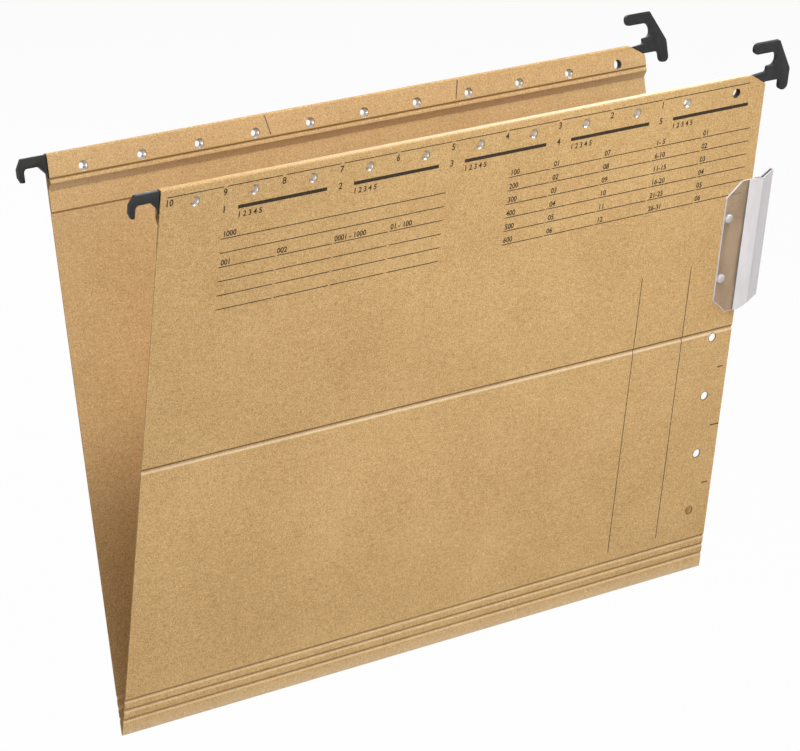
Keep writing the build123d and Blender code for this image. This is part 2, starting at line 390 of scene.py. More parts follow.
@dataclass(frozen=True)
class ClearFinish(Finish):
    """Clear moulded plastic, a little grey, with faint flow marks, that lets light straight through."""

    tint: Colour
    cover: float
    roughness: float = 0.12
    flow: float = 120.0
    marks: float = 1.12
    flow_way: Corner = (1.0, 1.0, 0.3)
    streaks: Point = (0.32, 0.68)
    relief: Point = (0.08, 0.1 * MM)
    coat: float = 0.6

    def inputs(self, graph: NodeGraph, place: Socket) -> dict[str, Any]:
        """Works out the plastic's colour, relief and cover.

        Args:
            graph: The material's graph.
            place: Object coordinates.

        Returns:
            The shader's inputs by name.
        """
        flow = graph.noise(graph.stretched(place, self.flow_way), self.flow)
        pale = tuple(min(1.0, value * self.marks) for value in self.tint)
        return {
            "Base Color": graph.mix(graph.spread(flow, *self.streaks), self.tint, pale),
            "Normal": graph.bump(flow, *self.relief),
            "Roughness": self.roughness,
            "Alpha": self.cover,
            "Coat Weight": self.coat,
        }


@dataclass(frozen=True)
class CardFinish(Finish):
    """Smooth white card with a faint fibre."""

    name: str = "label_card"
    white: Colour = (0.80, 0.79, 0.80)
    shade: Colour = (0.73, 0.72, 0.73)
    fibre: float = 1600.0
    relief: Point = (0.15, 0.03 * MM)
    roughness: float = 0.75

    def inputs(self, graph: NodeGraph, place: Socket) -> dict[str, Any]:
        """Works out the card's colour and relief.

        Args:
            graph: The material's graph.
            place: Object coordinates.

        Returns:
            The shader's inputs by name.
        """
        fibre = graph.noise(place, self.fibre, detail=3.0)
        return {
            "Base Color": graph.mix(fibre, self.shade, self.white),
            "Normal": graph.bump(fibre, *self.relief),
            "Roughness": self.roughness,
        }


@dataclass(frozen=True)
class InkFinish(Finish):
    """Printed brown-black ink, thinner where the board's fibres stand up."""

    name: str = "print_ink"
    ink: Colour = (0.030, 0.022, 0.015)
    thin: Colour = (0.095, 0.062, 0.030)
    mottle: float = 2600.0
    thin_range: Point = (0.45, 0.75)
    roughness: float = 0.8
    specular: float = 0.2

    def inputs(self, graph: NodeGraph, place: Socket) -> dict[str, Any]:
        """Works out the print's colour.

        Args:
            graph: The material's graph.
            place: Object coordinates.

        Returns:
            The shader's inputs by name.
        """
        mottle = graph.noise(place, self.mottle)
        return {
            "Base Color": graph.mix(graph.spread(mottle, *self.thin_range), self.ink, self.thin),
            "Roughness": self.roughness,
            "Specular IOR Level": self.specular,
        }


@dataclass(frozen=True)
class FolderFrame:
    """Where the board lies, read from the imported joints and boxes, in metres."""

    lean_sin: float
    lean_cos: float
    fold_z: float
    half_width: float
    height: float
    base_score: float
    cover_score: float
    middle_crease: float

    @classmethod
    def read(cls, packed: dict[str, Any], knife: float, hem_depth: float, top_radius: float) -> "FolderFrame":
        """Reads the board's place from the frame.

        Args:
            knife: Depth of the hinge lines from the board's inner face.
            hem_depth: Depth of the hem behind the board's inner face.
            top_radius: Outer radius of the fold at the top of the hem.

        Returns:
            The folder's frame.
        """
        joints = {joint["name"]: joint for joint in packed["joints"]}
        _, slide_y, slide_z = joints["label_slide"]["axis"]
        sine, cosine = -slide_y, slide_z
        heights = {}
        for name in ("base_front_fold", "cover_open", "cover_crease"):
            heights[name] = (-joints[name]["pos_m"][1] - knife * cosine) / sine
        crease_z = joints["cover_crease"]["pos_m"][2]
        fold_z = crease_z - heights["cover_crease"] * cosine + knife * sine
        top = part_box("rear_panel")[1].z - fold_z
        height = (top - top_radius - (hem_depth - top_radius) * sine) / cosine + top_radius
        return cls(sine, cosine, fold_z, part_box("front_lower_panel")[1].x, height,
                   heights["base_front_fold"], heights["cover_open"], heights["cover_crease"])

    @property
    def lean(self) -> float:
        """Lean of each wall from upright, in radians."""
        return math.atan2(self.lean_sin, self.lean_cos)

    def section(self, side: Side, out: float, up: float) -> Point:
        """Returns Y and Z of a point given outwards from a wall's inner face and up the wall."""
        y = side.value * (up * self.lean_sin + out * self.lean_cos)
        return y, self.fold_z + up * self.lean_cos - out * self.lean_sin

    def point(self, side: Side, x: float, up: float, out: float) -> Vector:
        """Returns a point of a wall in the frame's metres."""
        return Vector((x, *self.section(side, out, up)))

    def on_wall(self, place: Vector) -> tuple[Side, float]:
        """Returns the wall that a point of the board belongs to and its height up that wall."""
        side = Side.REAR if place.y > 0 else Side.FRONT
        return side, side.value * place.y * self.lean_sin + (place.z - self.fold_z) * self.lean_cos

    def outward(self, side: Side) -> Vector:
        """Returns the outward normal of a wall."""
        return Vector((0.0, side.value * self.lean_cos, -self.lean_sin))

    def upward(self, side: Side) -> Vector:
        """Returns the direction up a wall."""
        return Vector((0.0, side.value * self.lean_sin, self.lean_cos))

    def cover_turn(self) -> Euler:
        """Returns the turn that lays a piece flat on the cover, its own Z pointing outwards."""
        return Euler((math.pi / 2 + self.lean, 0.0, 0.0))

    def hole_turn(self, side: Side) -> Euler:
        """Returns the turn that points a piece's own Z through a wall."""
        return Euler((math.pi / 2 - side.value * self.lean, 0.0, 0.0))


def rounded(corners: Sequence[Corner], step: float = math.radians(10.0)) -> list[Point]:
    """Turns the corners of a closed outline into arcs.

    Args:
        corners: Places and radii of the corners, in order.
        step: Largest turn between two points of an arc.

    Returns:
        The outline's points.
    """
    outline: list[Point] = []
    for index, (x, y, radius) in enumerate(corners):
        corner = Vector((x, y))
        if radius <= 0.0:
            outline.append((x, y))
            continue
        before = (Vector(corners[index - 1][:2]) - corner).normalized()
        after = (Vector(corners[(index + 1) % len(corners)][:2]) - corner).normalized()
        half = before.angle(after) / 2
        centre = corner + (before + after).normalized() * (radius / math.sin(half))
        first = corner + before * (radius / math.tan(half)) - centre
        last = corner + after * (radius / math.tan(half)) - centre
        turn = first.angle_signed(last)
        count = max(2, math.ceil(abs(turn) / step))
        for share in range(count + 1):
            spoke = Matrix.Rotation(-turn * share / count, 2) @ first
            outline.append(tuple(centre + spoke))
    return outline


def add_object(name: str, data: bpy.types.ID | None = None) -> Piece:
    """Adds an object at the origin of the scene.

    Args:
        name: Name of the object.
        data: Its mesh, curve, light or camera, or none for an empty mesh.

    Returns:
        The new object.
    """
    if data is None:
        data = bpy.data.meshes.new(name)
    piece = bpy.data.objects.new(name, data)
    bpy.context.scene.collection.objects.link(piece)
    return piece


def mesh_of(name: str, shape: bmesh.types.BMesh) -> Mesh:
    """Turns a shape into a mesh.

    Args:
        name: Name of the mesh.
        shape: The shape, which is freed.

    Returns:
        The new mesh.
    """
    mesh = bpy.data.meshes.new(name)
    shape.to_mesh(mesh)
    shape.free()
    return mesh


def paint(mesh: Mesh, *materials: Material) -> None:
    """Gives a mesh its materials.

    Args:
        mesh: The mesh.
        *materials: Its only materials, in order.
    """
    mesh.materials.clear()
    for material in materials:
        mesh.materials.append(material)


def smooth_flats(mesh: Mesh, sharp: float = math.radians(14.0)) -> None:
    """Shades a mesh smooth, with edges over an angle kept sharp."""
    mesh.polygons.foreach_set("use_smooth", [True] * len(mesh.polygons))
    mesh.set_sharp_from_angle(angle=sharp)


def prism(name: str, near: Sequence[Any], far: Sequence[Any]) -> Piece:
    """Joins two outlines into a closed solid.

    Args:
        name: Name of the object.
        near: Places of the first outline's points, anticlockwise seen from the second.
        far: Places of the second outline's points, in the same order.

    Returns:
        A closed mesh object.
    """
    shape = bmesh.new()
    rings = [[shape.verts.new(place) for place in ring] for ring in (near, far)]
    for index in range(len(near)):
        before = index - 1
        shape.faces.new((rings[0][before], rings[0][index], rings[1][index], rings[1][before]))
    shape.faces.new(rings[0][::-1])
    shape.faces.new(rings[1])
    return add_object(name, mesh_of(name, shape))


def sweep_outline(name: str, outline: Sequence[Point], half_width: float) -> Piece:
    """Sweeps a closed outline across the folder's width.

    Args:
        name: Name of the object.
        outline: Y and Z of the outline's points, in order.
        half_width: Reach of the sweep to each side.

    Returns:
        A closed mesh object.
    """
    area = sum(outline[index - 1][0] * z - outline[index - 1][1] * y for index, (y, z) in enumerate(outline))
    ordered = outline if area > 0 else outline[::-1]
    near, far = ([(x, y, z) for y, z in ordered] for x in (-half_width, half_width))
    return prism(name, near, far)


def box_corners(centre: Vector, axes: Sequence[Vector]) -> list[Vector]:
    """Returns the eight corners of a box from its centre and three half axes."""
    signs = [(a, b, c) for a in (-1, 1) for b in (-1, 1) for c in (-1, 1)]
    return [centre + axes[0] * a + axes[1] * b + axes[2] * c for a, b, c in signs]


def hull_object(name: str, groups: Sequence[Sequence[Vector]]) -> Piece:
    """Makes one object of several convex forms.

    Args:
        name: Name of the object.
        groups: Points whose convex hull is one form, for each form.

    Returns:
        A closed mesh object.
    """
    shape = bmesh.new()
    for group in groups:
        points = [shape.verts.new(point) for point in group]
        bmesh.ops.convex_hull(shape, input=points)
    bmesh.ops.recalc_face_normals(shape, faces=shape.faces)
    return add_object(name, mesh_of(name, shape))


def settle(piece: Piece) -> Piece:
    """Turns a piece's modifiers into a plain mesh and removes them.

    Args:
        piece: The object with its modifiers.

    Returns:
        The piece.
    """
    bpy.context.view_layer.update()
    evaluated = piece.evaluated_get(bpy.context.evaluated_depsgraph_get())
    mesh = bpy.data.meshes.new_from_object(evaluated)
    piece.modifiers.clear()
    piece.data = mesh
    return piece


def cut_away(piece: Piece, cutter: Piece) -> None:
    """Cuts one closed mesh out of another.

    Args:
        piece: The object that is cut.
        cutter: The form that is taken out, which is deleted.
    """
    modifier = piece.modifiers.new("cut", "BOOLEAN")
    modifier.operation = "DIFFERENCE"
    modifier.solver = "EXACT"
    modifier.object = cutter
    settle(piece)
    bpy.data.objects.remove(cutter)


class GeometryTree:
    """A geometry node tree with named inputs, built once and used on many pieces."""

    def __init__(self, name: str, sockets: dict[str, Kind]) -> None:
        """Makes the tree with its group sockets.

        Args:
            name: Name of the tree.
            sockets: Kind of each named input besides the start, the turn and the finish.
        """
        self.tree = bpy.data.node_groups.new(name, "GeometryNodeTree")
        self.graph = NodeGraph(self.tree)
        interface = self.tree.interface
        interface.new_socket("Geometry", in_out="INPUT", socket_type="NodeSocketGeometry")
        self.names: dict[str, str] = {}
        shared = {"Start": Kind.VECTOR, "Turn": Kind.VECTOR, "Finish": Kind.MATERIAL}
        for label, kind in {**shared, **sockets}.items():
            socket = interface.new_socket(label, in_out="INPUT", socket_type=kind.value)
            self.names[label] = socket.identifier
        interface.new_socket("Geometry", in_out="OUTPUT", socket_type="NodeSocketGeometry")
        self.given = self.graph.add("NodeGroupInput").outputs

    def line(self, count: str, step: str, start: str | None = None) -> Socket:
        """Lays points along a straight line.

        Args:
            count: Name of the input that says how many.
            step: Name of the input that leads from one to the next.
            start: Name of the input for the first one, or none for the origin.

        Returns:
            The points.
        """
        inputs = {"Count": self.given[count], "Offset": self.given[step]}
        if start is not None:
            inputs["Start Location"] = self.given[start]
        return self.graph.add("GeometryNodeMeshLine", inputs).outputs[0]

    def set_on(self, points: Socket, instance: Socket, **more: Socket) -> Socket:
        """Sets a copy of a form on every point, turned as the tree is told.

        Args:
            points: The points.
            instance: The form.
            **more: Further inputs of the node by name.

        Returns:
            The instances.
        """
        turn = self.graph.add("FunctionNodeEulerToRotation", {0: self.given["Turn"]}).outputs[0]
        inputs = {"Points": points, "Instance": instance, "Rotation": turn, **more}
        return self.graph.add("GeometryNodeInstanceOnPoints", inputs).outputs[0]

    def realised(self, geometry: Socket) -> Socket:
        """Returns the geometry with its instances made real."""
        return self.graph.add("GeometryNodeRealizeInstances", {0: geometry}).outputs[0]

    def close(self, geometry: Socket) -> None:
        """Realises the instances, gives them their finish and ends the tree.

        Args:
            geometry: What the tree has made.
        """
        inputs = {"Geometry": self.realised(geometry), "Material": self.given["Finish"]}
        dressed = self.graph.add("GeometryNodeSetMaterial", inputs).outputs[0]
        self.graph.add("NodeGroupOutput", {0: dressed})

    def apply(self, piece: Piece, **values: Any) -> Piece:
        """Runs the tree on a piece and keeps the result as a plain mesh.

        Args:
            piece: The object that the tree works on.
            **values: Value of each named input.

        Returns:
            The piece.
        """
        modifier = piece.modifiers.new(self.tree.name, "NODES")
        modifier.node_group = self.tree
        for label, value in values.items():
            modifier[self.names[label]] = value
        return settle(piece)


class RowTree(GeometryTree):
    """A geometry tree that sets round forms in a row."""

    def __init__(self, name: str, *sizes: str) -> None:
        """Makes the tree with the inputs of a row.

        Args:
            name: Name of the tree.
            *sizes: Names of the form's sizes besides its diameter.
        """
        row = {"Step": Kind.VECTOR, "Count": Kind.WHOLE, "Diameter": Kind.NUMBER}
        super().__init__(name, {**row, **dict.fromkeys(sizes, Kind.NUMBER)})
        self.radius = self.graph.math("MULTIPLY", self.given["Diameter"], 0.5)

    def set_row(self, instance: Socket, **more: Socket) -> Socket:
        """Returns copies of a form, one at each place of the row."""
        return self.set_on(self.line("Count", "Step", "Start"), instance, **more)


class PunchTree(RowTree):
    """Punches a row of round holes through a board."""

    def __init__(self, sides: int = 40) -> None:
        """Builds the tree.

        Args:
            sides: Number of sides of each hole.
        """
        super().__init__("punched_row", "Depth")
        sizes = {"Vertices": sides, "Radius": self.radius, "Depth": self.given["Depth"]}
        punch = self.graph.add("GeometryNodeMeshCylinder", sizes).outputs[0]
        meshes = {"Mesh 1": self.given["Geometry"], "Mesh 2": self.realised(self.set_row(punch))}
        holed = self.graph.add("GeometryNodeMeshBoolean", meshes, operation="DIFFERENCE", solver="EXACT")
        self.close(holed.outputs[0])


class CollarTree(RowTree):
    """Sets a row of short collars, one in each hole, straight or dished towards the far side."""

    def __init__(self, sides: int = 40) -> None:
        """Builds the tree.

        Args:
            sides: Number of sides of each collar.
        """
        super().__init__("collar_row", "Depth", "Wall", "Dish")
        given, graph = self.given, self.graph
        ring = graph.add("GeometryNodeCurvePrimitiveCircle", {"Resolution": sides, "Radius": self.radius})
        near, far = (graph.math("MULTIPLY", given["Depth"], share) for share in (-0.5, 0.5))
        inner, dished = (graph.math("MULTIPLY", given[size], -1.0) for size in ("Wall", "Dish"))
        corners = ((0.0, near), (dished, far), (graph.math("ADD", inner, dished), far), (inner, near))
        section = {}
        for index, (reach, depth) in enumerate(corners):
            section[f"Point {index + 1}"] = graph.add("ShaderNodeCombineXYZ", {0: reach, 1: depth}).outputs[0]
        wall = graph.add("GeometryNodeCurvePrimitiveQuadrilateral", section, mode="POINTS")
        curves = {"Curve": ring.outputs[0], "Profile Curve": wall.outputs[0]}
        self.close(self.set_row(graph.add("GeometryNodeCurveToMesh", curves).outputs[0]))


class RuleTree(GeometryTree):
    """Prints a block of ruled strokes in columns and rows."""

    def __init__(self) -> None:
        """Builds the tree."""
        super().__init__("ruled_block", {"Across": Kind.VECTOR, "Down": Kind.VECTOR, "Columns": Kind.WHOLE,
                                         "Rows": Kind.WHOLE, "Stroke": Kind.VECTOR})
        lines = {"Points": self.line("Columns", "Across", "Start"), "Instance": self.line("Rows", "Down")}
        places = self.graph.add("GeometryNodeInstanceOnPoints", lines).outputs[0]
        stroke = self.graph.add("GeometryNodeMeshCube", {"Size": self.given["Stroke"]}).outputs[0]
        self.close(self.set_on(self.realised(places), stroke))


class DomeTree(RowTree):
    """Sets a row of low round domes."""

    def __init__(self, segments: int = 32, rings: int = 16) -> None:
        """Builds the tree.

        Args:
            segments: Number of segments round each dome.
            rings: Number of rings from pole to pole.
        """
        super().__init__("dome_row", "Height")
        sizes = {"Segments": segments, "Rings": rings, "Radius": 1.0}
        ball = self.graph.add("GeometryNodeMeshUVSphere", sizes).outputs[0]
        axes = {0: self.radius, 1: self.radius, 2: self.given["Height"]}
        scale = self.graph.add("ShaderNodeCombineXYZ", axes).outputs[0]
        self.close(self.set_row(ball, Scale=scale))


def merged_copy(node: str, merge: float = 0.001 * MM, flat: float = math.radians(0.6)) -> Mesh:
    """Copies a CAD node's mesh with its triangles joined into whole faces.

    Args:
        node: Name of the node.
        merge: Distance below which two points are one.
        flat: Angle below which two faces are one.

    Returns:
        The new mesh.
    """
    shape = bmesh.new()
    shape.from_mesh(frame["nodes"][node].data)
    bmesh.ops.remove_doubles(shape, verts=shape.verts, dist=merge)
    bmesh.ops.dissolve_limit(shape, angle_limit=flat, verts=shape.verts, edges=shape.edges)
    return mesh_of(node, shape)


def finish_piece(piece: Piece, body: Body | None, slot: Slot | None, *nodes: str) -> None:
    """Gives a finished piece its place in the assembly.

    Args:
        piece: The finished object.
        body: Body that it rides on, or none for a piece that crosses a crease between two, which is left on
            no body.
        slot: The record's slot that the piece stands for, or none for print; not used.
        *nodes: CAD nodes that it stands for.
    """
    if body is not None:
        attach(piece, body.value)
    if nodes:
        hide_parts(*nodes)
    LOG.info("%s: %d faces", piece.name, len(piece.data.polygons))


@dataclass(frozen=True)
class PressedLine:
    """A line pressed into the board from outside: its depth, the ridge behind it and its two flanks.

    The lower flank is painted pale as a highlight and the upper one painted dark as shade, each by a share;
    on the inner face the crest is painted pale as a highlight, and dark as shade where the share is negative.
    """

    depth: float
    ridge: float
    below: float
    above: float
    # Shares of painted highlight and painted shade across the line.
    pale: float
    dark: float
    steps: int = 6

    def profile(self, height: float, face: float, depth: float) -> list[Point]:
        """Returns the points of a face across the line, upwards.

        Args:
            height: Height of the line's deepest place.
            face: Place of the face outwards from the board's inner face.
            depth: How far the face is moved inwards there.

        Returns:
            Points outwards from the inner face and up the wall.
        """
        points = []
        for index in range(-self.steps, self.steps + 1):
            flank = self.above if index > 0 else self.below
            press = depth * (0.5 + 0.5 * math.cos(math.pi * index / self.steps))
            points.append((face - press, height + flank * index / self.steps))
        return points

    def wear(self, rise: float, outside: bool) -> float:
        """Works out the painted highlight and painted shade across the line.

        Args:
            rise: Height over the line's deepest place.
            outside: Whether this is the outer face.

        Returns:
            How much highlight is painted there, or shade where negative.
        """
        if not -self.below < rise < self.above:
            return 0.0
        if not outside:
            return self.pale * math.cos(math.pi / 2 * rise / (self.above if rise > 0 else self.below))
        if rise > 0:
            return -self.dark * math.sin(math.pi * rise / self.above)
        return self.pale * math.sin(-math.pi * rise / self.below)


@dataclass
class BoardSheet:
    """The creased board: rear wall, base fold and cover, with hems, scores and punched holes."""

    folder: FolderFrame
    board: float = 0.4 * MM
    pocket: float = 2.2 * MM
    pocket_height: float = 11.4 * MM
    hem_lip: float = 0.8 * MM
    step_height: float = 2.8 * MM
    flap_length: float = 23.9 * MM
    flap_edge: float = 0.35 * MM
    glue_gap: float = 0.02 * MM
    top_radius: float = 0.9 * MM
    bend_radius: float = 0.9 * MM
    low_score: float = 7.1 * MM
    knife: float = 0.2 * MM
    # Pale shares are painted highlights and dark shares painted shade; the hem line's negative share paints
    # shade on the inner face.
    score: PressedLine = PressedLine(0.42 * MM, 0.34 * MM, 1.10 * MM, 1.10 * MM, 0.24, 0.62)
    crease: PressedLine = PressedLine(0.55 * MM, 0.45 * MM, 1.70 * MM, 1.15 * MM, 0.36, 0.95)
    hem_line: PressedLine = PressedLine(0.34 * MM, 0.0, 0.45 * MM, 1.15 * MM, -0.70, 0.80)
    bend_share: float = 0.9
    fold_radius: float = 0.12 * MM
    fold_steps: int = 18
    corner_width: float = 9.0 * MM
    corner_height: float = 5.2 * MM
    slit_spacing: float = 101.0 * MM
    slit_length: float = 8.2 * MM
    slit_width: float = 0.7 * MM
    slit_depth: float = 1.2 * MM
    slit_drop: float = 5.0 * MM
    slit_lean: float = math.radians(14.0)
    hole_diameter: float = 4.5 * MM
    hole_pitch: float = 28.5 * MM
    hole_drop: float = 7.3 * MM
    hole_count: int = 11
    side_hole_inset: float = 11.4 * MM
    side_hole_drop: float = 3.1 * MM
    side_hole_count: int = 4
    peg_hole_count: int = 2
    rim_width: float = 0.3 * MM
    rim_height: float = 0.02 * MM
    top_slope: float = 0.2
    # Painted highlight on the upward-facing crown of the cover's top fold.
    top_wear: float = 0.85
    top_crown: float = 0.90
    # Painted light: the band along the bottom fold is painted paler, standing in for light from below.
    base_wear: float = 0.26
    # Painted light: the inner faces are painted paler towards the top.
    inner_wear: float = 0.08
    # Painted highlight on the strip just under the hem.
    lip_wear: float = 0.12
    # Painted light on the hem's downward-facing step, which lifts its shade.
    step_wear: float = 0.40
    # Painted shade: a dark line along the glued flap's lower edge.
    flap_wear: float = -0.85
    end_facing: float = 0.99

    @property
    def hem_line_height(self) -> float:
        """Height of the line pressed along the hem's lower edge."""
        return self.folder.height - self.pocket_height + self.hem_line.below + self.board / 2

    @property
    def hem_bottom(self) -> float:
        """Height where the hem's inner layer turns in towards the wall."""
        return self.folder.height - self.pocket_height - self.hem_lip

    @property
    def flap_bottom(self) -> float:
        """Height of the lower edge of the layer that is glued to the wall."""
        return self.folder.height - self.flap_length

    @property
    def hem_depth(self) -> float:
        """Depth of the hem behind the board's inner face."""
        return self.pocket + self.board

    @property
    def punch_depth(self) -> float:
        """Length of a punch that goes right through a hem."""
        return 4 * self.hem_depth

    @property
    def hinge_bottom(self) -> float:
        """Height of the seam above the base score."""
        return self.folder.base_score + self.score.above

    @property
    def lower_bottom(self) -> float:
        """Height of the seam above the cover score."""
        return self.folder.cover_score + self.score.above

    @property
    def upper_bottom(self) -> float:
        """Height of the seam above the middle crease."""
        return self.folder.middle_crease + self.crease.above

    @property
    def first_hole(self) -> float:
        """Place across the folder of a hem's leftmost hole."""
        return -self.hole_pitch * (self.hole_count - 1) / 2

    @property
    def first_side_hole(self) -> float:
        """Height of the uppermost open side hole, just below the middle crease."""
        return self.folder.middle_crease - self.side_hole_drop

    def groove(self, height: float, line: PressedLine) -> list[Point]:
        """Returns the outer face's points across a pressed line, upwards."""
        return line.profile(height, self.board, line.depth)

    def ridge(self, height: float, line: PressedLine) -> list[Point]:
        """Returns the inner face's points behind a pressed line, downwards."""
        return line.profile(height, 0.0, line.ridge)[::-1]

    def hem_outline(self, bottom: float, scores: Sequence[float]) -> list[Point]:
        """Returns the section of a wall with its folded hem.

        Args:
            bottom: Height of the wall's lower edge.
            scores: Heights of the scores in it.

        Returns:
            Points outwards from the inner face and up the wall.
        """
        top = self.folder.height
        hem_bottom, flap_bottom = self.hem_bottom, self.flap_bottom
        step_bottom = hem_bottom - self.step_height
        deep, glued = -self.hem_depth, -self.board - self.glue_gap
        inner_radius = self.top_radius - self.board
        corners = [(self.board, bottom, 0.0)]
        for score in scores:
            corners += [(out, up, 0.0) for out, up in self.groove(score, self.score)]
        corners += [(self.board, top, self.top_radius), (deep, top, self.top_radius)]
        press = self.hem_line.profile(self.hem_line_height, deep, -self.hem_line.depth)
        corners += [(out, up, 0.0) for out, up in reversed(press)]
        corners += [
            (deep, hem_bottom, self.board / 2),
            (glued, step_bottom, self.bend_radius),
            (glued, flap_bottom + self.flap_edge, 0.0),
            (glued, flap_bottom, 0.0),
            (glued + self.board, flap_bottom, 0.0),
            (glued + self.board, step_bottom, self.bend_radius),
            (deep + self.board, hem_bottom, self.bend_radius),
            (deep + self.board, top - self.board, inner_radius),
            (0.0, top - self.board, inner_radius),
        ]
        for score in reversed(scores):
            corners += [(out, up, 0.0) for out, up in self.ridge(score, self.score)]
        corners.append((0.0, bottom, 0.0))
        return rounded(corners)

    def wall(self, name: str, side: Side, outline: Sequence[Point]) -> Piece:
        """Returns a wall swept from its section."""
        points = [self.folder.section(side, out, up) for out, up in outline]
        return sweep_outline(name, points, self.folder.half_width)

    def strip(self, name: str, bottom: float, height: float, line: PressedLine) -> Piece:
        """Makes a stretch of the cover, from a seam up to the far edge of a pressed line.

        Args:
            name: Name of the object.
            bottom: Height of the seam.
            height: Height of the line.
            line: Shape of the line.

        Returns:
            A closed mesh object.
        """
        outline = [(self.board, bottom)] + self.groove(height, line)
        outline += self.ridge(height, line) + [(0.0, bottom)]
        return self.wall(name, Side.FRONT, outline)

    def base_fold(self) -> Piece:
        """Makes the base, from the rear score round the rounded bottom fold to the front score.

        Returns:
            A closed mesh object.
        """
        folder = self.folder
        scores = (self.low_score, folder.base_score)
        face = [point for score in scores for point in self.groove(score, self.score)]
        back = [point for score in reversed(scores) for point in self.ridge(score, self.score)]
        centre = folder.fold_z + self.fold_radius / folder.lean_sin
        sweep = math.pi - 2 * folder.lean
        arc = [folder.lean + sweep * step / self.fold_steps for step in range(self.fold_steps + 1)]
        inner, outer = self.fold_radius, self.fold_radius + self.board
        outline = [folder.section(Side.REAR, out, up) for out, up in reversed(face)]
        outline += [(outer * math.cos(turn), centre - outer * math.sin(turn)) for turn in arc]
        outline += [folder.section(Side.FRONT, out, up) for out, up in face + back]
        outline += [(inner * math.cos(turn), centre - inner * math.sin(turn)) for turn in reversed(arc)]
        outline += [folder.section(Side.REAR, out, up) for out, up in reversed(back)]
        return sweep_outline("base_fold_board", outline, folder.half_width)

    def clip_corner(self, piece: Piece, side: Side) -> None:
        """Cuts off the hem's right corner, which leaves room for the double hook.

        Args:
            piece: The wall.
            side: Which wall it is.
        """
        folder, over = self.folder, 2 * self.hem_depth
        width, drop = self.corner_width, self.corner_height
        ends = [
            (folder.half_width - width - over * width / drop, folder.height + over),
            (folder.half_width + over, folder.height + over),
            (folder.half_width + over, folder.height - drop - over * drop / width),
        ]
        group = [folder.point(side, x, up, out) for x, up in ends for out in (-over, over)]
        cut_away(piece, hull_object("corner_cutter", [group]))

    def slit_flap(self, piece: Piece, side: Side) -> None:
        """Cuts the two slanted relief slits in the hem's inner layer.

        Args:
            piece: The wall.
            side: Which wall it is.
        """
        folder = self.folder
        groups = []
        for way in (-1, 1):
            place = way * self.slit_spacing / 2
            centre = folder.point(side, place, folder.height - self.slit_drop, -self.hem_depth)
            lean = way * self.slit_lean
            across = ACROSS * math.cos(lean) - folder.upward(side) * math.sin(lean)
            along = folder.upward(side) * math.cos(lean) + ACROSS * math.sin(lean)
            axes = (across * (self.slit_width / 2), along * (self.slit_length / 2),
                    folder.outward(side) * (self.slit_depth / 2))
            groups.append(box_corners(centre, axes))
        cut_away(piece, hull_object("slit_cutter", groups))

    def hole_row(self, side: Side) -> dict[str, Any]:
        """Places the holes of a hem.

        Args:
            side: Wall that the hem belongs to.

        Returns:
            Inputs of a row tree.
        """
        folder = self.folder
        start = folder.point(side, self.first_hole, folder.height - self.hole_drop, 0.0)
        return {"Start": start, "Step": ACROSS * self.hole_pitch, "Turn": folder.hole_turn(side),
                "Count": self.hole_count, "Diameter": self.hole_diameter}

    def side_row(self, first: float, way: float, count: int) -> dict[str, Any]:
        """Places holes along the cover's right edge.

        Args:
            first: Height of the first one.
            way: 1 where the others follow upwards, -1 downwards.
            count: Number of holes.

        Returns:
            Inputs of a row tree.
        """
        folder = self.folder
        start = folder.point(Side.FRONT, folder.half_width - self.side_hole_inset, first, 0.0)
        return {"Start": start, "Step": folder.upward(Side.FRONT) * (way * self.hole_pitch),
                "Turn": folder.hole_turn(Side.FRONT), "Count": count, "Diameter": self.hole_diameter}

    def open_row(self) -> dict[str, Any]:
        """Returns the open side holes, downwards, as inputs of a row tree."""
        return self.side_row(self.first_side_hole, -1.0, self.side_hole_count)

    def peg_row(self) -> dict[str, Any]:
        """Returns the holes that take the label holder's pegs, upwards, as inputs of a row tree."""
        return self.side_row(self.first_side_hole + self.hole_pitch, 1.0, self.peg_hole_count)

    def wear_at(self, vertex: bpy.types.MeshVertex) -> float:
        """Works out the painted highlight and painted shade of the board at a vertex.

        Args:
            vertex: A vertex of a board piece.

        Returns:
            How much highlight is painted there, or shade where negative.
        """
        folder = self.folder
        side, up = folder.on_wall(vertex.co)
        outside = vertex.normal.dot(folder.outward(side)) > 0
        rising = vertex.normal.dot(folder.upward(side))
        # The cover's top fold is painted pale where it faces up: a painted highlight.
        if up > folder.height - self.top_radius and rising > self.top_slope:
            return self.top_wear if side is Side.FRONT and rising > self.top_crown else 0.0
        # The band along the bottom fold is painted paler: painted light from below.
        if up < self.low_score / 2:
            return self.base_wear
        lines = [(height, self.score) for height in (self.low_score, folder.base_score, folder.cover_score)]
        if side is Side.FRONT:
            lines.append((folder.middle_crease, self.crease))
        value = sum(line.wear(up - height, outside) for height, line in lines)
        return value if outside else value + self.inner_wear_at(up)

    def inner_wear_at(self, up: float) -> float:
        """Works out the painted highlight and painted shade of the inner face, with its hem and flap.

        Args:
            up: Height up the wall.

        Returns:
            How much highlight is painted there, or shade where negative.
        """
        # Painted shade: a dark line along the glued flap's lower edge.
        if abs(up - self.flap_bottom) < self.flap_edge / 2:
            return self.flap_wear
        # Painted light on the hem's downward-facing step, which lifts its shade.
        if self.hem_bottom - self.step_height < up < self.hem_bottom - self.board:
            return self.step_wear
        # Painted highlight on the strip under the hem.
        if self.hem_bottom - self.board <= up < self.hem_bottom + self.hem_lip + self.board:
            return self.lip_wear
        # The inner face is painted paler towards the top, and painted dark as shade across the hem line.
        return self.inner_wear * up / self.folder.height + self.hem_line.wear(up - self.hem_line_height, True)

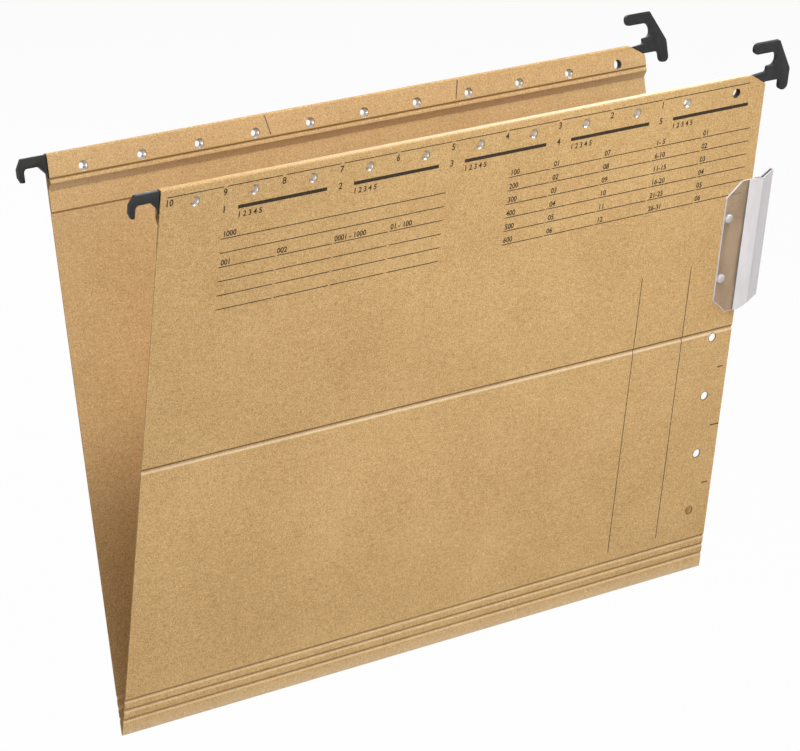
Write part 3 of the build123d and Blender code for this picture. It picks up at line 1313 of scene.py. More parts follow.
    def dress(self, piece: Piece, edge: Material) -> None:
        """Stores a board piece's painted highlights and shade as a vertex attribute, and shows the cut ends
        of the board in their own finish.

        Args:
            piece: The finished board piece.
            edge: Material of the cut ends.
        """
        mesh = piece.data
        smooth_flats(mesh)
        values = [self.wear_at(vertex) for vertex in mesh.vertices]
        mesh.attributes.new(PAINTED_LIGHT_AND_SHADE, "FLOAT", "POINT").data.foreach_set("value", values)
        mesh.materials.append(edge)
        end = self.folder.half_width - self.board
        for face in mesh.polygons:
            if abs(face.normal.x) > self.end_facing and abs(face.center.x) > end:
                face.material_index = len(mesh.materials) - 1

    def build_rims(self, edge: Material, collar: CollarTree) -> None:
        """Sets the pressed rims of the cover's open side holes.

        Args:
            edge: Material of the rims.
            collar: Tree that sets them.
        """
        row = self.open_row()
        row["Start"] = row["Start"] + self.folder.outward(Side.FRONT) * (self.board / 2)
        rims = add_object("cover_hole_rims")
        depth = self.board + 2 * self.rim_height
        collar.apply(rims, Wall=self.rim_width, Dish=0.0, Depth=depth, Finish=edge, **row)
        smooth_flats(rims.data)
        finish_piece(rims, Body.LOWER, Slot.BOARD)

    def build(self, kraft: Material, edge: Material, punch: PunchTree, collar: CollarTree) -> None:
        """Builds and dresses every stretch of the board.

        Args:
            kraft: The board's material.
            edge: Material of the board's cut ends and hole rims.
            punch: Tree that punches the holes.
            collar: Tree that sets the rims of the side holes.
        """
        folder = self.folder
        rear = self.wall("rear_wall_board", Side.REAR,
                         self.hem_outline(self.hinge_bottom, [folder.cover_score]))
        upper = self.wall("cover_upper_board", Side.FRONT, self.hem_outline(self.upper_bottom, []))
        for piece, side in ((rear, Side.REAR), (upper, Side.FRONT)):
            self.clip_corner(piece, side)
            self.slit_flap(piece, side)
            punch.apply(piece, Depth=self.punch_depth, Finish=kraft, **self.hole_row(side))
        punch.apply(upper, Depth=self.punch_depth, Finish=kraft, **self.peg_row())
        lower = self.strip("cover_lower_board", self.lower_bottom, folder.middle_crease, self.crease)
        punch.apply(lower, Depth=self.punch_depth, Finish=kraft, **self.open_row())
        hinge = self.strip("cover_hinge_board", self.hinge_bottom, folder.cover_score, self.score)
        base = self.base_fold()
        for piece in (hinge, base):
            paint(piece.data, kraft)
        for piece in (rear, upper, lower, hinge, base):
            self.dress(piece, edge)
        self.build_rims(edge, collar)
        self.bend_pieces(lower, hinge, base)
        finish_piece(rear, Body.REAR, Slot.BOARD, "rear_panel")
        finish_piece(upper, Body.UPPER, Slot.BOARD, "front_upper_panel")
        finish_piece(lower, None, Slot.BOARD, "front_lower_panel")
        finish_piece(hinge, None, Slot.BOARD, "front_hinge_strip")
        finish_piece(base, None, Slot.BOARD, "rear_base_strip", "front_base_strip")

    def bend_pieces(self, lower: Piece, hinge: Piece, base: Piece) -> None:
        """Bakes the placement of the creased pieces into their meshes; no bend across their joints is set up.

        Args:
            lower: Lower half of the cover.
            hinge: Strip between the base score and the cover score.
            base: The base with its bottom fold.
        """
        folder = self.folder
        self.bend_crease(lower)
        self.bend_across(hinge, folder.cover_score, self.score)
        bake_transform(base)

    def bend_crease(self, piece: Piece) -> None:
        """Bakes the placement of a piece that crosses the cover's middle crease into its mesh."""
        self.bend_across(piece, self.folder.middle_crease, self.crease)

    def bend_across(self, piece: Piece, height: float, line: PressedLine) -> None:
        """Works out the ends of a bend across a pressed line, which nothing uses, and bakes the piece's
        placement into its mesh.

        Args:
            piece: The piece that crosses the line.
            height: Height of the line.
            line: Shape of the line.
        """
        reach = self.bend_share * line.above
        start = self.folder.point(Side.FRONT, 0.0, height - reach, self.knife)
        end = self.folder.point(Side.FRONT, 0.0, height + reach, self.knife)
        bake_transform(piece)


@dataclass
class HemRails:
    """The steel rails in the hems, seen at the holes as collars."""

    sheet: BoardSheet
    end_inset: float = 2.5 * MM
    collar_wall: float = 0.16 * MM
    collar_depth: float = 1.4 * MM
    collar_dish: float = 0.95 * MM
    collar_gap: float = 0.15 * MM
    covered_holes: int = 1

    def build(self, steel: Material, collar: CollarTree) -> None:
        """Dresses the rails and lines their holes.

        Args:
            steel: The rails' material.
            collar: Tree that sets the collars.
        """
        rails = ((Side.FRONT, "front_rail", Body.UPPER), (Side.REAR, "rear_rail", Body.REAR))
        for side, node, body in rails:
            rail = add_object(f"{node}_strip", self.inset_mesh(node))
            paint(rail.data, steel)
            smooth_flats(rail.data)
            finish_piece(rail, body, Slot.RAIL, node)
            row = self.sheet.hole_row(side)
            near = self.collar_gap + self.collar_depth / 2
            inward = near if side is Side.FRONT else self.sheet.pocket - near
            row["Start"] = row["Start"] - self.sheet.folder.outward(side) * inward
            row["Count"] = self.sheet.hole_count - self.covered_holes
            collars = add_object(f"{node}_collars")
            collar.apply(collars, Wall=self.collar_wall, Dish=self.collar_dish, Depth=self.collar_depth,
                         Finish=steel, **row)
            smooth_flats(collars.data)
            finish_piece(collars, body, Slot.RAIL)

    def inset_mesh(self, node: str) -> Mesh:
        """Copies a rail with its left end set back inside the hem.

        Args:
            node: Name of the rail's CAD node.

        Returns:
            The new mesh.
        """
        mesh = merged_copy(node)
        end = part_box(node)[0].x + self.end_inset
        for vertex in mesh.vertices:
            vertex.co.x = max(vertex.co.x, end)
        return mesh


@dataclass
class CornerHooks:
    """The four plug-in hooks: single ones on the left, double ones with a C mouth on the right."""

    sheet: BoardSheet
    thickness: float = 2.0 * MM
    tongue_length: float = 13.0 * MM
    tongue_height: float = 8.3 * MM
    tongue_thickness: float = 1.1 * MM
    tail_length: float = 20.0 * MM
    tail_drop: float = 10.8 * MM
    seat_drop: float = 4.65 * MM
    prong_drop: float = 10.0 * MM
    arm_drop: float = 0.3 * MM
    left_reach: float = 13.9 * MM
    left_prong: float = 2.8 * MM
    shoulder_run: float = 2.3 * MM
    shoulder_fall: float = 3.9 * MM
    tip_run: float = 1.3 * MM
    tip_rise: float = 2.4 * MM
    gusset_reach: float = 3.9 * MM
    gusset_foot: float = 0.65 * MM
    gusset_drop: float = 8.7 * MM
    right_reach: float = 14.2 * MM
    right_prong: float = 5.2 * MM
    tip_shares: Point = (0.98, 0.9)
    neck_drop: float = 1.1 * MM
    nub_reach: float = 0.6 * MM
    nub_drop: float = 0.35 * MM
    nub_radius: float = 1.2 * MM
    mouth_floor: float = 2.2 * MM
    mouth_roof: float = 8.6 * MM
    mouth_depth: float = 5.2 * MM
    mouth_radius: float = 2.9 * MM
    horn_reach: float = 8.3 * MM
    horn_height: float = 13.5 * MM
    horn_corner: float = 6.2 * MM
    horn_radius: float = 2.2 * MM
    corner_radius: float = 0.8 * MM
    edge_radius: float = 0.25 * MM
    edge_steps: int = 3
    sharp_angle: float = math.radians(35.0)

    def left_outline(self) -> list[Corner]:
        """Draws the single hook.

        Returns:
            Its corners: reach past the board, drop below its top, and radius.
        """
        inner = self.left_reach - self.left_prong
        return [
            (0.0, self.arm_drop, 0.0),
            (self.left_reach - self.shoulder_run, self.arm_drop, self.corner_radius),
            (self.left_reach, self.arm_drop + self.shoulder_fall, 2 * self.corner_radius),
            (self.left_reach, self.prong_drop - self.tip_rise, self.corner_radius),
            (self.left_reach - self.tip_run, self.prong_drop, self.corner_radius / 2),
            (inner, self.prong_drop, self.corner_radius / 2),
            (inner, self.seat_drop, 2 * self.corner_radius),
            (self.gusset_reach, self.seat_drop, 2 * self.corner_radius),
            (self.gusset_foot, self.gusset_drop - self.corner_radius, 2 * self.corner_radius),
            (0.0, self.gusset_drop, 0.0),
        ]

    def right_outline(self) -> list[Corner]:
        """Draws the double hook.

        Returns:
            Its corners: reach past the board, drop below its top, and radius.
        """
        inner = self.right_reach - self.right_prong
        tip = self.right_prong / 2
        outer_share, inner_share = self.tip_shares
        return [
            (-self.tail_length, self.neck_drop, 0.0),
            (-self.sheet.corner_width + self.neck_drop, self.neck_drop, 0.0),
            (self.nub_reach, self.nub_drop, self.nub_radius),
            (self.nub_reach, -self.mouth_floor, self.corner_radius),
            (self.mouth_depth, -self.mouth_floor, self.mouth_radius),
            (self.mouth_depth, -self.mouth_roof, self.mouth_radius),
            (-self.horn_reach, -self.mouth_roof, self.horn_radius),
            (-self.horn_reach, -self.horn_height, self.horn_radius),
            (self.horn_corner, -self.horn_height, self.corner_radius),
            (self.right_reach, self.nub_drop, tip),
            (self.right_reach, self.prong_drop, tip * outer_share),
            (inner, self.prong_drop, tip * inner_share),
            (inner, self.seat_drop, 2 * self.corner_radius),
            (0.0, self.seat_drop, 0.0),
            (0.0, self.tail_drop, 0.0),
            (-self.tail_length, self.tail_drop, 0.0),
        ]

    def plate(self, name: str, side: Side, way: int, corners: Sequence[Corner]) -> Piece:
        """Makes a flat moulding of an outline in the middle of a hem.

        Args:
            name: Name of the object.
            side: Wall that the hook belongs to.
            way: 1 at the right end of the hem, -1 at its left end.
            corners: The outline's corners, clockwise seen from the front at a right end.

        Returns:
            A closed mesh object.
        """
        folder = self.sheet.folder
        middle = -self.sheet.pocket / 2
        rings = []
        for out in (middle - self.thickness / 2, middle + self.thickness / 2):
            rings.append([folder.point(side, way * (folder.half_width + reach), folder.height - drop, out)
                          for reach, drop in rounded(corners)])
        hook = prism(name, *rings)
        if way != side.value:
            hook.data.flip_normals()
        return hook

    def soften(self, hook: Piece) -> None:
        """Rounds the moulding's edges.

        Args:
            hook: The hook's plate.
        """
        bevel = hook.modifiers.new("edges", "BEVEL")
        bevel.width = self.edge_radius
        bevel.segments = self.edge_steps
        bevel.limit_method = "ANGLE"
        bevel.angle_limit = self.sharp_angle
        settle(hook)

    def add_tongue(self, hook: Piece, side: Side, way: int, root: float) -> None:
        """Adds the tongue that plugs into the rail.

        Args:
            hook: The hook's plate.
            side: Wall that the hook belongs to.
            way: 1 at the right end of the hem, -1 at its left end.
            root: Distance of the tongue's root from the board's edge, inwards.
        """
        folder = self.sheet.folder
        drop = (self.sheet.board + self.sheet.pocket_height) / 2
        place = way * (folder.half_width - root - self.tongue_length / 2)
        centre = folder.point(side, place, folder.height - drop, -self.sheet.pocket / 2)
        axes = (ACROSS * (self.tongue_length / 2), folder.upward(side) * (self.tongue_height / 2),
                folder.outward(side) * (self.tongue_thickness / 2))
        tongue = hull_object("tongue", [box_corners(centre, axes)])
        shape = bmesh.new()
        shape.from_mesh(hook.data)
        shape.from_mesh(tongue.data)
        shape.to_mesh(hook.data)
        shape.free()
        bpy.data.objects.remove(tongue)

    def build(self, plastic: Material, punch: PunchTree) -> None:
        """Builds and dresses the four hooks.

        Args:
            plastic: The hooks' material.
            punch: Tree that punches the hem's last hole through the double hooks.
        """
        for side, word, body in ((Side.REAR, "rear", Body.REAR), (Side.FRONT, "front", Body.UPPER)):
            left = self.plate(f"{word}_left_hook_moulding", side, -1, self.left_outline())
            right = self.plate(f"{word}_right_hook_moulding", side, 1, self.right_outline())
            for hook, way, root in ((left, -1, 0.0), (right, 1, self.tail_length)):
                self.soften(hook)
                self.add_tongue(hook, side, way, root)
                paint(hook.data, plastic)
            row = self.sheet.hole_row(side)
            row["Start"] = row["Start"] + row["Step"] * (row["Count"] - 1)
            row["Count"] = 1
            punch.apply(right, Depth=self.sheet.punch_depth, Finish=plastic, **row)
            for hook, node in ((left, f"{word}_left_hook"), (right, f"{word}_right_hook")):
                smooth_flats(hook.data, self.sharp_angle)
                finish_piece(hook, body, Slot.HOOK, node)


class HolderZone(Enum):
    """The zones of the label holder that look different, as places in its list of finishes; the wing's two
    facets are lit and shaded copies, the far one painted darker as shade.
    """

    FLANGE = 0
    RIM = 1
    WING = 2
    FALL = 3


@dataclass
class LabelHolder:
    """The clear holder on the cover's right edge, with its domes, a dark strip of painted shade along its
    fold, and its card.
    """

    sheet: BoardSheet
    wing_start: float = 2.2 * MM
    ridge_reach: float = 4.0 * MM
    wing_stretch: float = 1.18
    flange_facing: float = 0.9
    flange_thickness: float = 0.6 * MM
    dome_diameter: float = 4.2 * MM
    dome_height: float = 1.0 * MM
    seam_width: float = 0.45 * MM
    seam_height: float = 0.06 * MM
    seam_margin: float = 0.8 * MM

    @property
    def wing_foot(self) -> float:
        """Place across the folder where the wing folds up from the flange."""
        return self.sheet.folder.half_width - self.wing_start

    @property
    def flange_face(self) -> float:
        """Place of the flange's outer face outwards from the board's inner face."""
        return self.sheet.board + self.flange_thickness

    def zone(self, face: bpy.types.MeshPolygon) -> HolderZone:
        """Sorts the faces of the holder.

        Args:
            face: One face.

        Returns:
            The zone that it belongs to.
        """
        # The wing's far facet takes a darker copy of the wing's finish: painted shade.
        if face.center.x > self.sheet.folder.half_width + self.ridge_reach:
            return HolderZone.FALL
        if face.center.x > self.wing_foot:
            return HolderZone.WING
        facing = abs(face.normal.dot(self.sheet.folder.outward(Side.FRONT)))
        return HolderZone.FLANGE if facing > self.flange_facing else HolderZone.RIM

    def build_shell(self, finishes: dict[HolderZone, Material]) -> None:
        """Dresses the holder itself, with its wing drawn out to the full width.

        Args:
            finishes: Material of each zone.
        """
        shell = add_object("label_holder_shell", merged_copy("label_tab"))
        paint(shell.data, *(finishes[zone] for zone in HolderZone))
        for face in shell.data.polygons:
            face.material_index = self.zone(face).value
        for vertex in shell.data.vertices:
            vertex.co.x += max(vertex.co.x - self.wing_foot, 0.0) * (self.wing_stretch - 1.0)
        finish_piece(shell, Body.UPPER, Slot.TAB, "label_tab")

    def build_domes(self, glossy: Material, dome: DomeTree) -> None:
        """Sets the domes over the pegs.

        Args:
            glossy: Material of the domes.
            dome: Tree that sets them.
        """
        row = self.sheet.peg_row()
        row["Start"] = row["Start"] + self.sheet.folder.outward(Side.FRONT) * self.flange_face
        row["Diameter"] = self.dome_diameter
        domes = add_object("label_holder_domes")
        dome.apply(domes, Height=self.dome_height, Finish=glossy, **row)
        smooth_flats(domes.data)
        finish_piece(domes, Body.UPPER, Slot.TAB)

    def build_fold(self, seam: Material) -> None:
        """Lays a dark strip where the wing folds up from the flange: painted shade for the gap at the fold.

        Args:
            seam: Material of the dark strip of painted shade.
        """
        folder, sheet = self.sheet.folder, self.sheet
        low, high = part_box("label_tab")
        length = (high.z - low.z) / folder.lean_cos - 2 * self.seam_margin
        middle = sheet.first_side_hole + sheet.hole_pitch * (sheet.peg_hole_count + 1) / 2
        centre = folder.point(Side.FRONT, self.wing_foot, middle, self.flange_face)
        axes = (ACROSS * (self.seam_width / 2), folder.upward(Side.FRONT) * (length / 2),
                folder.outward(Side.FRONT) * self.seam_height)
        # A dark strip on the flange at the fold: painted shade.
        line = hull_object("label_holder_fold", [box_corners(centre, axes)])
        paint(line.data, seam)
        finish_piece(line, Body.UPPER, Slot.TAB)

    def build(self, finishes: dict[HolderZone, Material], seam: Material, glossy: Material, card: Material,
              dome: DomeTree) -> None:
        """Builds and dresses the holder, its domes, the painted shade along its fold and its card.

        Args:
            finishes: Material of each zone.
            seam: Material of the dark strip of painted shade where the wing folds up from the flange.
            glossy: Material of the domes.
            card: The card's material.
            dome: Tree that sets the domes over the pegs.
        """
        self.build_shell(finishes)
        self.build_domes(glossy, dome)
        self.build_fold(seam)
        paint(frame["nodes"]["label_insert"].data, card)
        LOG.info("label_insert: dressed where it is")


@dataclass(frozen=True)
class RuleBlock:
    """A block of ruled strokes: the first one's left end, height and length, and how it repeats."""

    left: float
    height: float
    length: float
    weight: float = 0.34 * MM
    columns: int = 1
    pitch: float = 0.0
    rows: int = 1
    upright: bool = False


@dataclass
class CoverPrint:
    """The plain printed scale, form lines and numbers on the cover."""

    sheet: BoardSheet
    ink_height: float = 0.03 * MM
    tick: float = 0.5 * MM
    ticks: tuple[Corner, ...] = ((153.2 * MM, 101.4 * MM, 3.4 * MM), (153.6 * MM, 72.6 * MM, 5.2 * MM),
                                 (153.2 * MM, 44.0 * MM, 3.4 * MM))
    margins: Point = (100.5 * MM, 129.0 * MM)
    margin_top: float = 154.5 * MM
    margin_bottom: float = 21.6 * MM
    scale_drop: float = 3.5 * MM
    scale_parts: int = 9
    scale_part: float = 26.8 * MM
    scale_end: float = 49.0 * MM
    bold: float = 1.5 * MM
    bar_drop: float = 13.2 * MM
    bar_start: float = -121.5 * MM
    bar_length: float = 43.5 * MM
    bar_count: int = 5
    form_drop: float = 25.6 * MM
    form_left: float = -128.7 * MM
    form_width: float = 112.6 * MM
    form_column: float = 27.2 * MM
    head_rows: int = 2
    rows: int = 6
    row_step: float = 6.05 * MM
    columns: int = 4
    column_pitch: float = 28.4 * MM
    table_rise: float = 0.9 * MM
    table_left: float = 17.4 * MM
    table_head: float = 22.2 * MM
    table_start: float = 40.4 * MM
    table_column: float = 27.6 * MM
    numeral: float = 3.9 * MM
    small_numeral: float = 3.3 * MM
    numeral_weight: float = 0.06 * MM
    numeral_steps: int = 3
    numeral_merge: float = 0.0005 * MM
    slant: float = 0.04
    number_drop: float = 7.2 * MM
    number_shift: float = 1.0 * MM
    number_gap: float = 0.8 * MM
    first_number: float = -156.8 * MM
    bar_number_drop: float = 1.2 * MM
    bar_row_drop: float = 4.4 * MM

    @property
    def middle_ink(self) -> float:
        """Place of the ink's middle outwards from the board's inner face."""
        return self.sheet.board + self.ink_height / 2

    def rules(self, rule: RuleTree, ink: Material, name: str, blocks: Sequence[RuleBlock],
              body: Body) -> None:
        """Prints blocks of ruled strokes as one piece.

        Args:
            rule: Tree that lays out a block.
            ink: The print's material.
            name: Name of the piece.
            blocks: The blocks.
            body: Body that the print rides on.
        """
        folder = self.sheet.folder
        shape = bmesh.new()
        for block in blocks:
            if block.upright:
                middle = (block.left, block.height - block.length / 2)
                stroke = (block.weight, block.length, self.ink_height)
            else:
                middle = (block.left + block.length / 2, block.height)
                stroke = (block.length, block.weight, self.ink_height)
            draft = add_object("ruled_draft")
            rule.apply(draft, Start=folder.point(Side.FRONT, *middle, self.middle_ink), Stroke=stroke,
                       Across=ACROSS * block.pitch, Down=folder.upward(Side.FRONT) * -self.row_step,
                       Columns=block.columns, Rows=block.rows, Turn=folder.cover_turn(), Finish=ink)
            shape.from_mesh(draft.data)
            bpy.data.objects.remove(draft)
        piece = add_object(name, mesh_of(name, shape))
        paint(piece.data, ink)
        finish_piece(piece, body, None)

    def numerals(self, ink: Material, name: str, numbers: Sequence[Number]) -> None:
        """Prints numbers as one piece.

        Args:
            ink: The print's material.
            name: Name of the piece.
            numbers: Text, left end, base height and size of each.
        """
        folder = self.sheet.folder
        turn = folder.cover_turn().to_matrix().to_4x4()
        shape = bmesh.new()
        for text, left, height, size in numbers:
            curve = bpy.data.curves.new("numeral_draft", "FONT")
            curve.body = text
            curve.size = size
            curve.offset = self.numeral_weight
            curve.shear = self.slant
            curve.resolution_u = self.numeral_steps
            curve.extrude = self.ink_height / 2
            draft = add_object("numeral_draft", curve)
            evaluated = draft.evaluated_get(bpy.context.evaluated_depsgraph_get())
            settled = bpy.data.meshes.new_from_object(evaluated)
            start = folder.point(Side.FRONT, left, height, self.middle_ink)
            settled.transform(Matrix.Translation(start) @ turn)
            shape.from_mesh(settled)
            bpy.data.objects.remove(draft)
        bmesh.ops.remove_doubles(shape, verts=shape.verts, dist=self.numeral_merge)
        piece = add_object(name, mesh_of(name, shape))
        paint(piece.data, ink)
        finish_piece(piece, Body.UPPER, None)

    def upper_blocks(self, form: float) -> list[RuleBlock]:
        """Lays out the strokes on the upper half of the cover.

        Args:
            form: Height of the forms' first line.

        Returns:
            The blocks of the scale, its bars, the two forms and the margins.
        """
        pitch, top = self.sheet.hole_pitch, self.sheet.folder.height
        scale = top - self.scale_drop
        scale_left = self.sheet.first_hole - self.scale_part / 2
        table = form + self.table_rise
        blocks = [
            RuleBlock(scale_left, scale, self.scale_part, columns=self.scale_parts, pitch=pitch),
            RuleBlock(scale_left + self.scale_parts * pitch, scale, self.scale_end),
            RuleBlock(self.bar_start, top - self.bar_drop, self.bar_length, weight=self.bold,
                      columns=self.bar_count, pitch=2 * pitch),
            RuleBlock(self.form_left, form, self.form_width, rows=self.head_rows),
            RuleBlock(self.form_left, form - self.head_rows * self.row_step, self.form_column,
                      columns=self.columns, pitch=self.column_pitch, rows=self.rows - self.head_rows),
            RuleBlock(self.table_left, table, self.table_head, rows=self.rows),
            RuleBlock(self.table_start, table, self.table_column, columns=self.columns,
                      pitch=self.column_pitch, rows=self.rows),
        ]
        length = self.margin_top - self.sheet.upper_bottom
        return blocks + [RuleBlock(left, self.margin_top, length, upright=True) for left in self.margins]

    def lower_blocks(self) -> list[RuleBlock]:
        """Lays out the strokes on the lower half of the cover.

        Returns:
            The blocks of the margins and of the ticks at the side holes.
        """
        top = self.sheet.folder.middle_crease - self.sheet.crease.below
        length = top - self.margin_bottom
        blocks = [RuleBlock(left, top, length, upright=True) for left in self.margins]
        return blocks + [RuleBlock(*tick, weight=self.tick) for tick in self.ticks]

    def crease_rules(self, ink: Material) -> None:
        """Prints the two margin lines down into the middle crease.

        Args:
            ink: The print's material.
        """
        folder, sheet = self.sheet.folder, self.sheet
        face = sheet.groove(folder.middle_crease, sheet.crease)
        outline = face + [(out + self.ink_height, up) for out, up in reversed(face)]
        points = [folder.section(Side.FRONT, out, up) for out, up in outline]
        for index, left in enumerate(self.margins):
            line = sweep_outline(f"cover_crease_rule_{index + 1}", points, RuleBlock.weight / 2)
            line.data.transform(Matrix.Translation((left, 0.0, 0.0)))
            paint(line.data, ink)
            sheet.bend_crease(line)
            finish_piece(line, None, None)

    def scale_numbers(self) -> list[Number]:
        """Lists the numbers of the scale and of its bars.

        Returns:
            Text, left end, base height and size of each.
        """
        pitch, top = self.sheet.hole_pitch, self.sheet.folder.height
        base, bar, half = top - self.number_drop, top - self.bar_drop, self.scale_parts / 2
        numbers = [("10", self.first_number, base, self.numeral)]
        for index in range(self.scale_parts):
            left = (index - half) * pitch - self.number_shift
            numbers.append((str(self.scale_parts - index), left, base, self.numeral))
        for index in range(self.bar_count):
            left = (2 * index - half) * pitch - self.number_shift
            numbers.append((str(index + 1), left, bar - self.bar_number_drop, self.numeral))
            left = self.bar_start + 2 * index * pitch
            numbers.append(("1 2 3 4 5", left, bar - self.bar_row_drop, self.small_numeral))
        return numbers

    def form_numbers(self, form: float) -> list[Number]:
        """Lists the numbers in the two forms.

        Args:
            form: Height of the forms' first line.

        Returns:
            Text, left end, base height and size of each.
        """
        heads = (("001", -128.0), ("002", -100.5), ("0001 - 1000", -72.0), ("01 - 100", -43.5))
        ranges = ("1- 5", "6-10", "11-15", "16-20", "21-25", "26-31")
        places = [("1000", -128.0, form)]
        places += [(text, left, form - self.head_rows * self.row_step) for text, left in heads]
        for row in range(self.rows):
            height = form + self.table_rise - row * self.row_step
            count = row + 1
            cells = ((f"{count}00", 18.0), (f"{count:02d}", 41.5), (f"{count + self.rows:02d}", 69.5),
                     (ranges[row], 98.5), (f"{count:02d}", 125.5))
            places += [(text, left, height) for text, left in cells]
        gap, size = self.number_gap, self.small_numeral
        return [(text, left * MM, height + gap, size) for text, left, height in places]

    def build(self, ink: Material, rule: RuleTree) -> None:
        """Prints the cover.

        Args:
            ink: The print's material.
            rule: Tree that lays out ruled blocks.
        """
        form = self.sheet.folder.height - self.form_drop
        self.rules(rule, ink, "cover_upper_rules", self.upper_blocks(form), Body.UPPER)
        self.rules(rule, ink, "cover_lower_rules", self.lower_blocks(), Body.LOWER)
        self.crease_rules(ink)
        self.numerals(ink, "cover_numerals", self.scale_numbers() + self.form_numbers(form))


@dataclass(frozen=True)
class Softbox:
    """A square area light that faces the folder: its place and size in metres and its power in watts."""

    name: str
    place: Corner
    size: float
    power: float


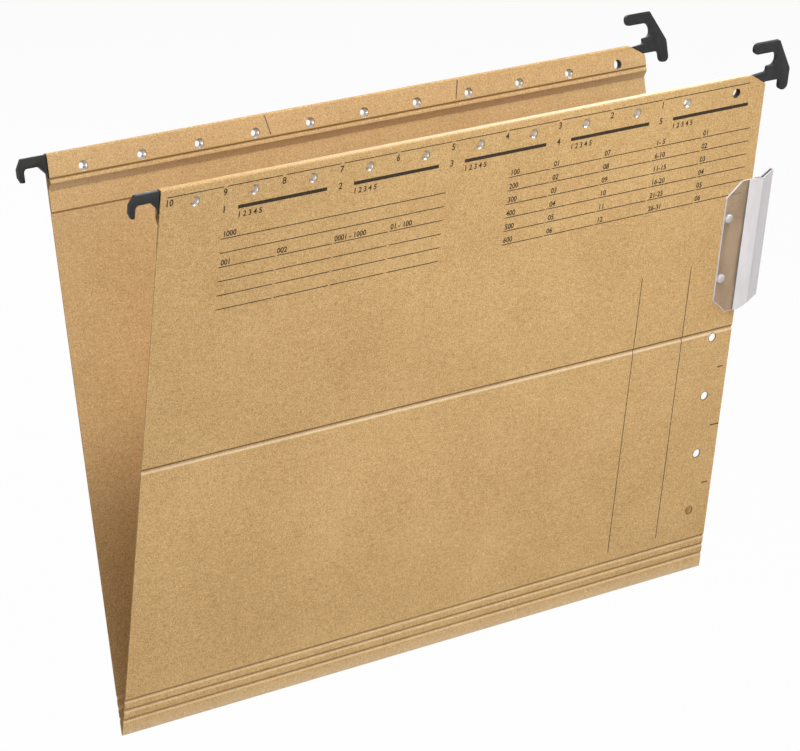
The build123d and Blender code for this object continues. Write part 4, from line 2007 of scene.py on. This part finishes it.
@dataclass
class Studio:
    """Pale floor, soft light and the camera at the photograph's angle."""

    azimuth: float = math.radians(-38.1)
    elevation: float = math.radians(16.644)
    roll: float = math.radians(-0.904)
    aim: Corner = (-26.143 * MM, -17.806 * MM, -100.832 * MM)
    distance: float = 1606.7 * MM
    focal_pixels: float = 3872.8
    image_width: float = 800.0
    sensor: float = 36.0
    floor_drop: float = 170.0 * MM
    floor_size: float = 8.0
    floor_pale: Colour = (0.60, 0.60, 0.60)
    floor_roughness: float = 0.9
    floor_glow: float = 0.95
    white: Colour = (1.0, 1.0, 1.0)
    ambient: float = 0.16
    lights: tuple[Softbox, ...] = (
        Softbox("key_softbox", (0.30, -0.50, 1.10), 0.3, 16.8),
        Softbox("front_softbox", (0.09, -0.38, 0.00), 0.25, 0.62),
        Softbox("side_softbox", (-1.30, -0.15, 0.15), 0.6, 11.0),
        Softbox("back_softbox", (0.60, 1.60, 0.90), 1.2, 22.0),
    )

    def build(self, lowest: float) -> None:
        """Sets the stage.

        Args:
            lowest: Height of the object's lowest point.
        """
        self.build_floor(lowest - self.floor_drop)
        self.build_world()
        for softbox in self.lights:
            self.build_light(softbox)
        self.build_camera()

    def build_floor(self, height: float) -> None:
        """Lays the pale floor.

        Args:
            height: Height of the floor.
        """
        half = self.floor_size / 2
        corners = [(-half, -half, height), (half, -half, height), (half, half, height), (-half, half, height)]
        floor = add_object("floor")
        floor.data.from_pydata(corners, [], [(0, 1, 2, 3)])
        material = bpy.data.materials.new("pale_floor")
        graph = NodeGraph.emptied(material)
        matt = graph.add("ShaderNodeBsdfPrincipled", {"Base Color": opaque(self.floor_pale),
                                                      "Roughness": self.floor_roughness})
        glow = graph.add("ShaderNodeEmission", {"Color": opaque(self.white), "Strength": 1.0})
        share = graph.math("MULTIPLY", self.seen_directly(graph), self.floor_glow)
        mixed = graph.add("ShaderNodeMixShader", {0: share, 1: matt.outputs[0], 2: glow.outputs[0]})
        graph.add("ShaderNodeOutputMaterial", {"Surface": mixed.outputs[0]})
        paint(floor.data, material)

    def seen_directly(self, graph: NodeGraph) -> Socket:
        """Tells where the camera, a reflection or a clear piece shows the surround.

        Args:
            graph: Graph of the floor or the world.

        Returns:
            1 there, 0 elsewhere.
        """
        path = graph.add("ShaderNodeLightPath").outputs
        seen = graph.math("MAXIMUM", path["Is Camera Ray"], path["Is Glossy Ray"])
        return graph.math("MAXIMUM", seen, path["Is Transmission Ray"])

    def build_world(self) -> None:
        """Makes a white surround that lights the object softly."""
        world = bpy.data.worlds.new("white_surround")
        graph = NodeGraph.emptied(world)
        soft, plain = (graph.add("ShaderNodeBackground", {"Color": opaque(self.white), "Strength": strength})
                       for strength in (self.ambient, 1.0))
        seen = self.seen_directly(graph)
        mixed = graph.add("ShaderNodeMixShader", {0: seen, 1: soft.outputs[0], 2: plain.outputs[0]})
        graph.add("ShaderNodeOutputWorld", {"Surface": mixed.outputs[0]})
        bpy.context.scene.world = world

    def build_light(self, softbox: Softbox) -> None:
        """Hangs a softbox.

        Args:
            softbox: The light.
        """
        lamp = bpy.data.lights.new(softbox.name, "AREA")
        lamp.size = softbox.size
        lamp.energy = softbox.power
        light = add_object(softbox.name, lamp)
        light.location = softbox.place
        back = Vector(softbox.place) - Vector(self.aim)
        light.rotation_euler = back.to_track_quat("Z", "Y").to_euler()

    def build_camera(self) -> None:
        """Puts the camera where the photograph was taken from."""
        back = Vector((math.sin(self.azimuth) * math.cos(self.elevation),
                       -math.cos(self.azimuth) * math.cos(self.elevation), math.sin(self.elevation)))
        level = Vector((0, 0, 1)).cross(back).normalized()
        upright = back.cross(level)
        right = level * math.cos(self.roll) + upright * math.sin(self.roll)
        up = upright * math.cos(self.roll) - level * math.sin(self.roll)
        turn = Matrix((right, up, back)).transposed().to_4x4()
        lens = bpy.data.cameras.new("photo_camera")
        lens.sensor_fit = "HORIZONTAL"
        lens.sensor_width = self.sensor
        lens.lens = self.focal_pixels * self.sensor / self.image_width
        camera = add_object("photo_camera", lens)
        camera.matrix_world = Matrix.Translation(Vector(self.aim) + back * self.distance) @ turn
        bpy.context.scene.camera = camera


def main() -> None:
    """Builds the folder's pieces in order and sets the stage."""
    logging.basicConfig(level=logging.INFO, format="%(name)s %(message)s")
    bpy.context.scene.view_settings.view_transform = "Standard"
    hem_depth = BoardSheet.pocket + BoardSheet.board
    folder = FolderFrame.read(frame, BoardSheet.knife, hem_depth, BoardSheet.top_radius)
    LOG.info("folder frame: %s", folder)
    sheet = BoardSheet(folder)
    kraft = KraftFinish().material()
    edge = KraftFinish("kraft_cut_edge", shade=(0.17, 0.092, 0.036), pulp=(0.25, 0.142, 0.058),
                       light=(0.36, 0.22, 0.096)).material()
    punch, collar = PunchTree(), CollarTree()
    sheet.build(kraft, edge, punch, collar)
    HemRails(sheet).build(SteelFinish().material(), collar)
    CornerHooks(sheet).build(MouldedFinish().material(), punch)
    clear = {
        HolderZone.FLANGE: ClearFinish("holder_flange", (0.33, 0.245, 0.165), 0.36, flow=160.0, marks=1.75),
        HolderZone.RIM: ClearFinish("holder_rim", (0.62, 0.60, 0.64), 0.72),
        # The wing's facets are lit and shaded copies of one finish: the near facet's tint is painted lighter
        # and the far facet's painted darker as shade.
        HolderZone.WING: ClearFinish("holder_wing", (0.70, 0.665, 0.67), 0.92, 0.2),
        HolderZone.FALL: ClearFinish("holder_wing_fall", (0.465, 0.42, 0.44), 0.92, 0.2),
    }
    zones = {zone: finish.material() for zone, finish in clear.items()}
    glossy = ClearFinish("holder_dome", (0.60, 0.58, 0.57), 0.45, 0.05).material()
    # Dark strip at the wing's fold: painted shade.
    seam = ClearFinish("holder_fold", (0.12, 0.11, 0.10), 0.75).material()
    LabelHolder(sheet).build(zones, seam, glossy, CardFinish().material(), DomeTree())
    CoverPrint(sheet).build(InkFinish().material(), RuleTree())
    Studio().build(CAD_BOX[0][2])


if __name__ == "__main__":
    main()
